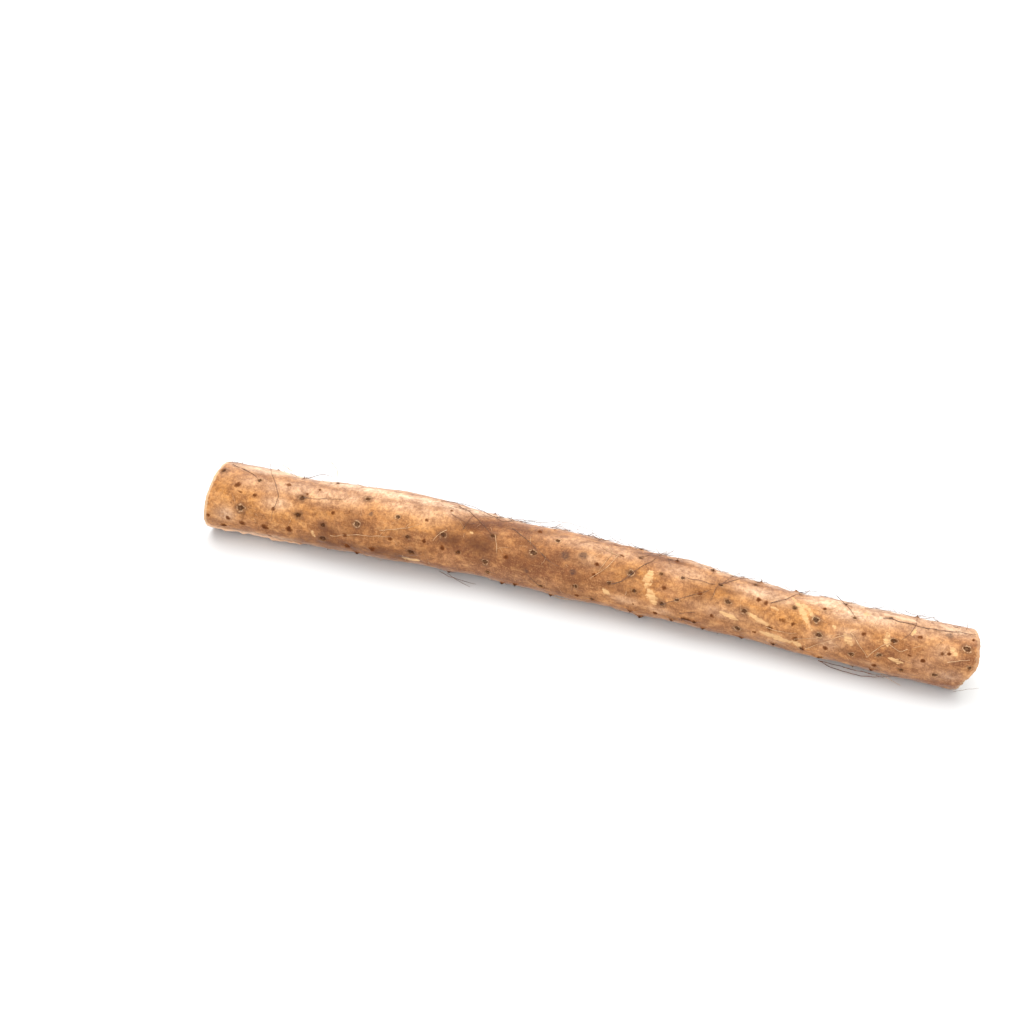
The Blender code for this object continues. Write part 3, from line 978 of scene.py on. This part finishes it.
# %% Flecks, grain, fibres, stains and painted shade of the skin
FLECK_DARK = light(95, 54, 26)
GRAIN_PALE = light(192, 143, 92)
GRAIN_DARK = light(86, 49, 25)
FIBRE_PALE = light(186, 139, 92)
FIBRE_DARK = light(101, 58, 30)

lengthways = noise(tree, 1100, detail=3.0, stretch=(0.10, 1.0, 1.0), shift=11.0)
slantwise = noise(tree, 900, detail=2.0, stretch=(1.0, 0.22, 0.22), shift=13.0)
colour = paint_layers(tree, colour, (
    (flecks, 0.34, 0.66, 0.45, 0.0, FLECK_DARK),
    (grain, 0.50, 0.70, 0.0, 0.38, GRAIN_PALE),
    (grain, 0.28, 0.46, 0.40, 0.0, GRAIN_DARK),
    (lengthways, 0.58, 0.70, 0.0, 0.32, FIBRE_PALE),
    (slantwise, 0.58, 0.72, 0.0, 0.30, FIBRE_DARK),
))
# Stains, and painted shade along the lower edge near the thick end, take out blue and darken to brown
stain_and_shade = step_between(tree, middle, 0.25, 0.60, 0.60, 0.86)
stain_and_shade = calculate(tree, "MULTIPLY", field_of(tree, "stain_and_shade"), stain_and_shade)
colour = mix_colours(tree, stain_and_shade, colour, STAIN_AND_SHADE_TINT, "MULTIPLY")
colour = mix_colours(tree, stain_and_shade, colour, STAIN_AND_SHADE_BROWN)
print("With flecks, fibres and stains it has", len(tree.nodes), "nodes")

# %% Scrapes and the pared rim
CREAM = light(196, 156, 108)
PARED = light(200, 168, 132)
LOOSE_SKIN = light(206, 166, 134)
RAGGED_REACH = 2.6


def up_and_down(tree, pattern, reach):
    """A noise pattern as a number that goes up and down round zero."""
    return calculate(tree, "MULTIPLY", calculate(tree, "SUBTRACT", pattern, 0.5), reach)


ragged = up_and_down(tree, noise(tree, 520, detail=5.0, roughness=0.7), RAGGED_REACH)
loose = step_between(tree, calculate(tree, "ADD", field_of(tree, "ridge"), ragged), -0.5, 0.4, 0.0, 0.75)
colour = mix_colours(tree, loose, colour, LOOSE_SKIN)
scraped = step_between(tree, calculate(tree, "ADD", field_of(tree, "scrape"), ragged), 0.05, 0.55)
streaky = step_between(tree, lengthways, 0.36, 0.60, 0.45, 0.92)
colour = mix_colours(tree, calculate(tree, "MULTIPLY", scraped, streaky), colour, CREAM)
rim_distance = calculate(tree, "ADD", field_of(tree, "cut_distance"), ragged)
pared = step_between(tree, rim_distance, 0.9, 1.8, 1.0, 0.0)
pared = calculate(tree, "MULTIPLY", pared, field_of(tree, "rim_paleness"))
colour = mix_colours(tree, pared, colour, PARED)
print("With scrapes and the rim it has", len(tree.nodes), "nodes")

# %% Rings and centres of the scars
RING_PALE = light(183, 148, 112)
HOLE_DARK = light(54, 26, 11)
STUB_TAN = light(100, 71, 48)
HALO_GREY = light(96, 63, 42)
DOT_BROWN = light(92, 49, 22)
DOT_CENTRE = light(70, 37, 18)
SMUDGE_GREY = light(62, 41, 34)
NUB_FOOT = light(104, 58, 32)
NUB_DARK = light(50, 26, 14)
EYE_SURROUND = light(90, 53, 29)
WOBBLE_REACH = 1.7  # edges wander by up to half of this, in millimetres for a scar of size 1

wobble = up_and_down(tree, noise(tree, 620, shift=17.0), WOBBLE_REACH)
broken = noise(tree, 800, detail=1.0, shift=19.0)


def wobbly_reach(name):
    """Distance to the nearest scar of a kind, made uneven so that no scar is a perfect circle."""
    return calculate(tree, "ADD", field_of(tree, name + "_reach"), wobble)


def disc(reach, inner, outer, most, *patterns):
    """Strongest up to an inner distance from a scar and nothing beyond an outer one, times some patterns."""
    strength = step_between(tree, reach, inner, outer, most, 0.0)
    for pattern in patterns:
        strength = calculate(tree, "MULTIPLY", strength, pattern)
    return strength


eye_reach, halo_reach, smudge_reach = wobbly_reach("eye"), wobbly_reach("halo"), wobbly_reach("smudge")
dot_reach, nub_reach = wobbly_reach("dot"), wobbly_reach("nub")
eye_strength, dot_strength = field_of(tree, "eye_strength"), field_of(tree, "dot_strength")
smudge_strength, nub_strength = field_of(tree, "smudge_strength"), field_of(tree, "nub_strength")
mottled = step_between(tree, broken, 0.30, 0.70, 0.95, 0.60)
gappy = step_between(tree, broken, 0.40, 0.62, 0.10, 0.95)
# A clear eye has a crisp hole, and a weak one a soft hole
crisp_hole = disc(eye_reach, 0.74, 1.08, 0.88, eye_strength)
soft_hole = disc(eye_reach, 0.40, 1.45, 0.82, calculate(tree, "SUBTRACT", 1.0, eye_strength))
hole = calculate(tree, "ADD", crisp_hole, soft_hole)
for strength, paint in (
    (disc(halo_reach, 1.10, 3.00, 0.50), HALO_GREY),
    (disc(smudge_reach, 0.60, 1.90, 1.0, mottled, smudge_strength), SMUDGE_GREY),
    (disc(eye_reach, 1.30, 2.40, 0.30), EYE_SURROUND),
    (disc(eye_reach, 1.20, 1.45, 1.0, eye_strength, gappy), RING_PALE),
    (hole, HOLE_DARK),
    (disc(eye_reach, 0.20, 0.62, 1.0, eye_strength), STUB_TAN),
    (disc(dot_reach, 0.80, 1.50, 0.95, dot_strength), DOT_BROWN),
    (disc(dot_reach, 0.25, 1.05, 0.85, dot_strength), DOT_CENTRE),
    (disc(nub_reach, 1.00, 2.00, 0.55, nub_strength), NUB_FOOT),
    (disc(nub_reach, 0.50, 1.40, 0.92), NUB_DARK),
):
    colour = mix_colours(tree, strength, colour, paint)
tree.links.new(colour, shader.inputs["Base Color"])
print("With the scars it has", len(tree.nodes), "nodes")

# %% Roughness, sheen and bump of the skin
roughness = step_between(tree, flecks, 0.3, 0.7, 0.48, 0.68)
tree.links.new(roughness, shader.inputs["Roughness"])
# Marks are dull, so the shine and the sheen begin beside them
mark_reach = calculate(tree, "MINIMUM", calculate(tree, "MINIMUM", eye_reach, dot_reach), nub_reach)
tree.links.new(step_between(tree, mark_reach, 0.9, 1.4, 0.03, 0.14), shader.inputs["Specular IOR Level"])
tree.links.new(step_between(tree, mark_reach, 0.9, 1.4, 0.0, 0.22), shader.inputs["Sheen Weight"])
shader.inputs["Sheen Roughness"].default_value = 0.40
heights = calculate(tree, "MULTIPLY", flecks, 0.8)
for pattern, weight in ((grain, 0.45), (lengthways, 0.5), (scraped, -0.4), (hole, -0.6)):
    heights = calculate(tree, "ADD", heights, calculate(tree, "MULTIPLY", pattern, weight))
bump = add_node(tree, "ShaderNodeBump", {"Strength": 0.55, "Distance": 0.00035, "Height": heights})
tree.links.new(bump.outputs[0], shader.inputs["Normal"])
print("The skin's material has", len(tree.nodes), "nodes")

# %% [markdown]
# ## The flesh
#
# Fresh yam flesh is white, fine and moist, with tiny dark specks, and its rim is a thin line of brown skin.
# The distance from the middle of the cut is already stored, so the rim needs no modelling. A little
# scattering under the surface keeps white flesh from looking like plaster.

# %% Material of the cut faces
FLESH = light(197, 184, 164)
FLESH_SHADE = light(183, 165, 142)
PORE_SHADE = light(152, 138, 118)
SPECK_BROWN = light(96, 72, 54)
NEAR_RIM = light(168, 148, 112)
SKIN_LINE = light(124, 84, 52)

flesh_material, tree, shader = new_material("yam_flesh")
cloud = noise(tree, 240, detail=4.0)
pores = noise(tree, 1500, detail=2.0, shift=2.0)
specks = noise(tree, 640, detail=1.0, shift=9.0)
colour = mix_colours(tree, step_between(tree, cloud, 0.35, 0.65), FLESH_SHADE, FLESH)
from_middle = field_of(tree, "filling")
colour = paint_layers(tree, colour, (
    (pores, 0.52, 0.72, 0.0, 0.35, PORE_SHADE),
    (specks, 0.71, 0.75, 0.0, 0.70, SPECK_BROWN),
    (from_middle, 0.90, 0.96, 0.0, 0.35, NEAR_RIM),
    (from_middle, 0.970, 0.985, 0.0, 0.90, SKIN_LINE),
))
tree.links.new(colour, shader.inputs["Base Color"])
tree.links.new(step_between(tree, cloud, 0.3, 0.7, 0.36, 0.55), shader.inputs["Roughness"])
shader.inputs["Subsurface Weight"].default_value = 0.18
shader.inputs["Subsurface Scale"].default_value = 0.002
heights = calculate(tree, "ADD", cloud, calculate(tree, "MULTIPLY", pores, 0.5))
bump = add_node(tree, "ShaderNodeBump", {"Strength": 0.45, "Distance": 0.0004, "Height": heights})
tree.links.new(bump.outputs[0], shader.inputs["Normal"])

skin.data.materials.append(skin_material)
skin.data.materials.append(flesh_material)
in_cut = (share < CUT_SHARE) | (share > 1 - CUT_SHARE)
on_end = [all(in_cut[corner] for corner in face.vertices) for face in skin.data.polygons]
skin.data.polygons.foreach_set("material_index", np.array(on_end, np.int32))
print("The cut faces have", sum(on_end), "faces")

# %% [markdown]
# ## The rootlets
#
# A rootlet is a thread, and a thread is a curve with a round bevel, which stays editable until it is turned
# into a mesh. Drawing each one in the air by hand would leave gaps under it. Instead it is drawn as a line
# in the picture, and each of its points is dropped on the skin and lifted by a little more than its own
# radius. Where the line leaves the outline, the thread stands free, and where it would pass under the floor
# it lies on it. Short hairs and the dark fuzz along the upper edge are too many to draw, so they wander
# over the skin by chance. Stubs of broken rootlets stand on some of the scars.

# %% Lines of the rootlets in the picture
# Each line: thickness in millimetres, then its places in the picture
DARK_LINES = (
    (0.34, (233, 465), (245, 470), (254, 475), (260, 481)),
    (0.22, (270, 464), (273, 478), (277, 487), (279, 496), (276, 504), (273, 510), (271, 521)),
    (0.22, (303, 498), (322, 499), (346, 499)),
    (0.30, (303, 479), (312, 477), (322, 474), (334, 477)),
    (0.30, (459, 506), (469, 511), (478, 520), (487, 528), (493, 535)),
    (0.24, (441, 501), (459, 503), (472, 506), (487, 513), (502, 522), (518, 521), (533, 520), (542, 521)),
    (0.22, (508, 518), (524, 520), (541, 523), (556, 521), (571, 523), (586, 529), (599, 533)),
    (0.20, (452, 515), (462, 521), (471, 524), (480, 522)),
    (0.20, (462, 530), (467, 522), (474, 515)),
    (0.30, (512, 528), (527, 540), (539, 551), (548, 560), (561, 567)),
    (0.24, (528, 575), (535, 582), (542, 587)),
    (0.26, (440, 571), (450, 577), (465, 581), (476, 584)),
    (0.22, (447, 573), (458, 581), (470, 587)),
    (0.32, (611, 584), (624, 580), (633, 573), (643, 566), (654, 560), (661, 555), (667, 551)),
    (0.22, (639, 557), (647, 556), (656, 551)),
    (0.20, (634, 546), (641, 549), (649, 552)),
    (0.20, (593, 533), (600, 538), (606, 541)),
    (0.30, (682, 577), (697, 580), (712, 584), (722, 584), (734, 581), (748, 578)),
    (0.22, (722, 584), (716, 587), (714, 594), (710, 601)),
    (0.22, (721, 585), (731, 578), (740, 573), (746, 568)),
    (0.24, (660, 605), (676, 600), (697, 594), (713, 589)),
    (0.22, (680, 613), (688, 612), (697, 612)),
    (0.30, (771, 603), (783, 600), (795, 596), (804, 592), (810, 591), (818, 592)),
    (0.28, (836, 596), (844, 603), (850, 610), (855, 617)),
    (0.34, (884, 618), (892, 619), (899, 622), (910, 624), (918, 627), (934, 630), (955, 632), (976, 635)),
    (0.28, (917, 615), (917, 624), (911, 633), (902, 640)),
    (0.20, (904, 610), (912, 614), (920, 615), (935, 618)),
    (0.36, (818, 660), (829, 666), (839, 670), (857, 675), (871, 677), (884, 677), (899, 676)),
    (0.30, (820, 661), (838, 665), (847, 669), (863, 672), (875, 675), (891, 675)),
    (0.24, (843, 667), (857, 671), (872, 674), (884, 678)),
    (0.16, (953, 692), (962, 690), (979, 688)),
)
STRAW_LINES = (
    (0.30, (331, 462), (338, 470), (338, 483), (338, 497)),
    (0.34, (292, 471), (287, 467), (281, 464)),
    (0.26, (330, 536), (354, 534), (374, 536), (393, 537)),
    (0.26, (380, 530), (395, 529), (408, 528), (420, 524)),
    (0.28, (447, 530), (438, 534), (433, 541)),
    (0.28, (495, 535), (497, 546), (497, 553)),
    (0.30, (619, 555), (610, 565), (597, 574), (590, 578)),
    (0.30, (609, 546), (613, 554), (605, 562), (599, 571)),
    (0.26, (602, 547), (611, 553), (622, 557)),
    (0.30, (551, 595), (561, 599), (572, 600)),
    (0.28, (805, 648), (822, 643), (839, 637), (850, 634), (859, 630)),
    (0.26, (794, 639), (815, 638), (840, 634)),
    (0.42, (850, 631), (858, 643), (867, 657)),
    (0.30, (867, 656), (881, 646), (890, 643)),
    (0.32, (889, 644), (900, 652), (910, 649), (921, 646)),
    (0.30, (948, 662), (958, 661), (970, 660)),
    (0.24, (766, 627), (782, 632), (797, 633)),
    (0.18, (881, 674), (892, 681), (901, 686)),
    (0.24, (812, 608), (823, 612), (838, 607)),
)
print(len(DARK_LINES), "dark and", len(STRAW_LINES), "straw-coloured lines are read from the picture")

# %% Lay the lines on the skin
LINE_STEP = 4.0  # picture points between two points of a thread
LINE_WOBBLE = 0.7
CLEAR_OF_SKIN = 0.00012
LINE_SEED = 41


def above_floor(point, place, height):
    """The same point, or where its ray meets the floor if it lies under it."""
    if point.z >= height:
        return point
    direction = picture_ray(*place)
    return camera_place + direction * ((height - camera_place.z) / direction.z)


def lay_line(places, thickness, draw):
    """The points of a thread that lies on the skin along a line in the picture."""
    path = []
    for (x0, y0), (x1, y1) in zip(places, places[1:]):
        steps = max(1, round(math.dist((x0, y0), (x1, y1)) / LINE_STEP))
        for step in range(steps):
            x = x0 + (x1 - x0) * step / steps + draw.uniform(-LINE_WOBBLE, LINE_WOBBLE)
            y = y0 + (y1 - y0) * step / steps + draw.uniform(-LINE_WOBBLE, LINE_WOBBLE)
            path.append(above_floor(seen_point(x, y, thickness / 2 + CLEAR_OF_SKIN), (x, y), thickness / 2))
    path.append(above_floor(seen_point(*places[-1], thickness), places[-1], thickness / 2))
    return path


draw = random.Random(LINE_SEED)
dark_paths = [(lay_line(line[1:], line[0] / 1000, draw), line[0] / 1000) for line in DARK_LINES]
straw_paths = [(lay_line(line[1:], line[0] / 1000, draw), line[0] / 1000) for line in STRAW_LINES]
print(len(dark_paths), "dark and", len(straw_paths), "straw-coloured threads lie on the visible side")

# %% Threads that wander over the skin
HEADING_DRIFT = 0.35


def wander(share, angle, heading, length, thickness, lift, draw, steps=8, most_facing=1.0):
    """A thread over the skin with its free end lifted. It stops where it would face the camera too much."""
    path = []
    for step in range(steps + 1):
        if len(path) > 2 and facing_camera(share, angle) > most_facing:
            break
        t = step / steps
        rise = thickness / 2 + CLEAR_OF_SKIN + lift * t**2
        point = Vector(form_point(share, angle, 1.0, rise))
        point.z = max(point.z, thickness / 2)
        path.append(point)
        heading += draw.uniform(-HEADING_DRIFT, HEADING_DRIFT)
        share += math.cos(heading) * length / steps / LENGTH
        angle += math.sin(heading) * length / steps / float(radius_at(share))
    return path


# Thicknesses, lengths and lifts of these threads are in metres
HIDDEN_ROOTLETS = 22
HIDDEN_THICKNESSES = (0.00018, 0.00030)
HIDDEN_LENGTHS = (0.012, 0.045)
HIDDEN_LIFTS = (0.0, 0.002)
GROWN_SHARES = (0.05, 0.95)
GROWN_FACING = -0.05
WANDER_SEED = 57

draw = random.Random(WANDER_SEED)
hidden_scars = [scar for scar in eyes + nubs if facing_camera(*scar[:2]) < GROWN_FACING]
grown_from = [scar for scar in hidden_scars if GROWN_SHARES[0] < scar[SHARE] < GROWN_SHARES[1]]
for index in range(HIDDEN_ROOTLETS):
    scar = draw.choice(grown_from)
    thickness = draw.uniform(*HIDDEN_THICKNESSES)
    heading, length = draw.uniform(*FULL_TURN), draw.uniform(*HIDDEN_LENGTHS)
    lift = draw.uniform(*HIDDEN_LIFTS)
    path = wander(scar[SHARE], scar[ANGLE], heading, length, thickness, lift, draw, steps=14, most_facing=0.0)
    (dark_paths if index % 3 else straw_paths).append((path, thickness))
print("With the hidden side:", len(dark_paths), "dark and", len(straw_paths), "straw-coloured threads")

# %% Short hairs and dark fuzz
HAIR_COUNT = 170
HAIR_SHARES = (0.01, 0.99)
HAIR_ANGLES = (-0.3, math.pi + 0.9)
HAIR_THICKNESSES = (0.00009, 0.00016)
HAIR_LENGTHS = (0.002, 0.007)
HAIR_LIFTS = (0.0, 0.0014)
HAIR_HEADINGS = (0, 6.3)
# Tufts of dark fuzz on the upper outline: place in the picture, and how many hairs
FUZZ = (
    (232, 463, 4), (303, 478, 6), (338, 484, 5), (372, 488, 3), (462, 508, 8), (498, 518, 10),
    (522, 522, 9), (548, 524, 9), (572, 530, 7), (592, 535, 9), (604, 540, 8), (622, 544, 5),
    (640, 549, 12), (660, 555, 12), (677, 560, 7), (713, 569, 5), (722, 572, 3), (738, 577, 4),
    (761, 583, 6), (797, 590, 7), (822, 596, 3), (846, 603, 4), (872, 608, 4), (893, 611, 5), (917, 617, 6),
    (935, 621, 4), (956, 627, 3), (968, 631, 2),
)
FUZZ_SPREAD = 9.0  # picture points to either side
FUZZ_TURNS = (-0.12, 0.08)
FUZZ_SLANT = 0.8
FUZZ_THICKNESSES = (0.00014, 0.00026)
FUZZ_LENGTHS = (0.003, 0.009)
FUZZ_LIFTS = (0.0005, 0.0036)

hair_paths, fuzz_paths = [], []
for _ in range(HAIR_COUNT):
    share, angle = draw.uniform(*HAIR_SHARES), draw.uniform(*HAIR_ANGLES)
    thickness = draw.uniform(*HAIR_THICKNESSES)
    length, lift = draw.uniform(*HAIR_LENGTHS), draw.uniform(*HAIR_LIFTS)
    path = wander(share, angle, draw.uniform(*HAIR_HEADINGS), length, thickness, lift, draw, steps=4)
    hair_paths.append((path, thickness))
for x, y, count in FUZZ:
    for _ in range(count):
        share, angle = seen_place(x + draw.uniform(-FUZZ_SPREAD, FUZZ_SPREAD), y)
        angle += draw.uniform(*FUZZ_TURNS)
        heading = draw.choice((0.0, math.pi)) + draw.uniform(-FUZZ_SLANT, FUZZ_SLANT)
        thickness = draw.uniform(*FUZZ_THICKNESSES)
        length, lift = draw.uniform(*FUZZ_LENGTHS), draw.uniform(*FUZZ_LIFTS)
        fuzz_paths.append((wander(share, angle, heading, length, thickness, lift, draw, steps=5), thickness))
print(len(hair_paths), "short hairs and", len(fuzz_paths), "hairs of fuzz")

# %% Stubs of broken rootlets
STUB_CHANCE = 0.6
STUB_THICKNESSES = (0.0003, 0.0005)
STUB_SUNK = 0.0003
STUB_RISES = (0.0003, 0.0011)
STUB_LEAN = 0.0016  # share of the length
STUB_TURN = 0.03
UP_THE_NUB = 0.7  # how far up its nub a stub starts

stubs = []
for scar in nubs + eyes:
    if draw.random() < STUB_CHANCE:
        thickness = draw.uniform(*STUB_THICKNESSES)
        raised = NUB_HEIGHT * scar[SIZE] * UP_THE_NUB if scar in nubs else 0.0
        tip_share = scar[SHARE] + draw.uniform(-STUB_LEAN, STUB_LEAN)
        tip_angle = scar[ANGLE] + draw.uniform(-STUB_TURN, STUB_TURN)
        tip_rise = raised + draw.uniform(*STUB_RISES)
        base = Vector(form_point(scar[SHARE], scar[ANGLE], 1.0, raised - STUB_SUNK))
        tip = Vector(form_point(tip_share, tip_angle, 1.0, tip_rise))
        if min(base.z, tip.z) > thickness:
            stubs.append(([base, base.lerp(tip, 0.5), tip], thickness))
print(len(stubs), "stubs")

# %% Materials of the threads


def thread_material(name, deep, pale):
    """A rough brown that wavers between a deep and a pale colour."""
    material, tree, shader = new_material(name)
    patches = noise(tree, 300, detail=3.0)
    colour = mix_colours(tree, step_between(tree, patches, 0.35, 0.65), deep, pale)
    tree.links.new(colour, shader.inputs["Base Color"])
    tree.links.new(step_between(tree, patches, 0.3, 0.7, 0.6, 0.8), shader.inputs["Roughness"])
    bump_inputs = {"Strength": 0.5, "Distance": 0.0001, "Height": noise(tree, 3000)}
    tree.links.new(add_node(tree, "ShaderNodeBump", bump_inputs).outputs[0], shader.inputs["Normal"])
    return material


dark_thread = thread_material("rootlet_brown", deep=light(58, 38, 28), pale=light(112, 72, 48))
straw_thread = thread_material("rootlet_straw", deep=light(156, 116, 78), pale=light(194, 156, 116))
fuzz_thread = thread_material("rootlet_fuzz", deep=light(84, 56, 42), pale=light(140, 100, 74))
print("Three browns for the threads:", dark_thread.name, straw_thread.name, fuzz_thread.name)

# %% Make the threads
TIP_SHARE = 0.50  # thickness of a thread's tip, as a share of its full thickness


def make_threads(name, paths, smoothness, material):
    """One mesh of round threads along these paths, thinning towards their ends."""
    bpy.ops.object.select_all(action="DESELECT")
    bpy.ops.curve.primitive_nurbs_path_add()
    threads = bpy.context.active_object
    threads.name = threads.data.name = name
    threads.data.splines.clear()
    for path, thickness in paths:
        spline = threads.data.splines.new("NURBS")
        spline.points.add(len(path) - 1)
        for index, (point, place) in enumerate(zip(spline.points, path)):
            t = index / (len(path) - 1)
            point.co = (*place, 1.0)
            point.radius = thickness / 2 * (1 - (1 - TIP_SHARE) * t**3)
        spline.order_u = min(4, len(path))
        spline.use_endpoint_u = True
        spline.resolution_u = 2
    threads.data.dimensions = "3D"
    threads.data.bevel_depth = 1.0
    threads.data.bevel_resolution = smoothness
    threads.data.use_fill_caps = True
    bpy.ops.object.convert(target="MESH")
    threads = bpy.context.active_object
    threads.data.materials.clear()
    threads.data.materials.append(material)
    bpy.ops.object.shade_smooth()
    triangles = sum(len(face.vertices) - 2 for face in threads.data.polygons)
    print(name, "has", len(paths), "threads and", triangles, "triangles")
    return threads


rootlets = [
    make_threads("dark_rootlets", dark_paths, 1, dark_thread),
    make_threads("straw_rootlets", straw_paths, 1, straw_thread),
    make_threads("fine_hairs", hair_paths, 0, straw_thread),
    make_threads("dark_fuzz", fuzz_paths, 0, fuzz_thread),
    make_threads("rootlet_stubs", stubs, 1, dark_thread),
]

# %% [markdown]
# ## Floor, light and sky
#
# The photograph was taken on a white ground in very even light. A large soft light behind and above the
# root gives it the bright top edge, a second one low in front lifts the lower side, and a bright sky fills
# the rest. The pale floor is a little greyer than paper, for under so much light it comes out just white.
# If it were much brighter than white, the fine hairs against it would be lost in the glare.

# %% The pale floor
FLOOR_SIZE = 2.0
FLOOR_GREY = light(200, 200, 200)

bpy.ops.mesh.primitive_plane_add(size=FLOOR_SIZE, location=(0.0, 0.0, 0.0))
floor = bpy.context.active_object
floor.name = "floor"
floor_material, tree, shader = new_material("pale_floor")
shader.inputs["Base Color"].default_value = FLOOR_GREY
shader.inputs["Roughness"].default_value = 0.9
shader.inputs["Specular IOR Level"].default_value = 0.1
floor.data.materials.append(floor_material)
print("The floor is", FLOOR_SIZE, "m wide")

# %% Soft lights and sky
# Each softbox: its name, its place, its width in metres and its power in watts
SOFTBOXES = (
    ("softbox_back", (-0.25, 0.52, 1.22), 1.8, 26.0),
    ("softbox_front", (0.05, -1.30, 0.50), 1.4, 14.0),
)
SKY_WHITE = (1.0, 1.0, 1.0, 1.0)
SKY_STRENGTH = 1.42


def add_softbox(name, place, size, power):
    """A square soft light that points at the middle of the scene."""
    bpy.ops.object.light_add(type="AREA", location=place)
    lamp = bpy.context.active_object
    lamp.name = name
    lamp.data.size = size
    lamp.data.energy = power
    lamp.rotation_euler = Vector(place).to_track_quat("Z", "Y").to_euler()


for softbox in SOFTBOXES:
    add_softbox(*softbox)
world = bpy.data.worlds.new("sky")
bpy.context.scene.world = world
world.use_nodes = True
world.node_tree.nodes["Background"].inputs["Color"].default_value = SKY_WHITE
world.node_tree.nodes["Background"].inputs["Strength"].default_value = SKY_STRENGTH
bpy.context.scene.view_settings.view_transform = "Standard"
print(len(SOFTBOXES), "soft lights and a white sky of strength", SKY_STRENGTH)

# %% Hang the pieces on the root and finish
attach(skin, "root")
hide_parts("yam_root")
for piece in rootlets:
    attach(piece, "root")
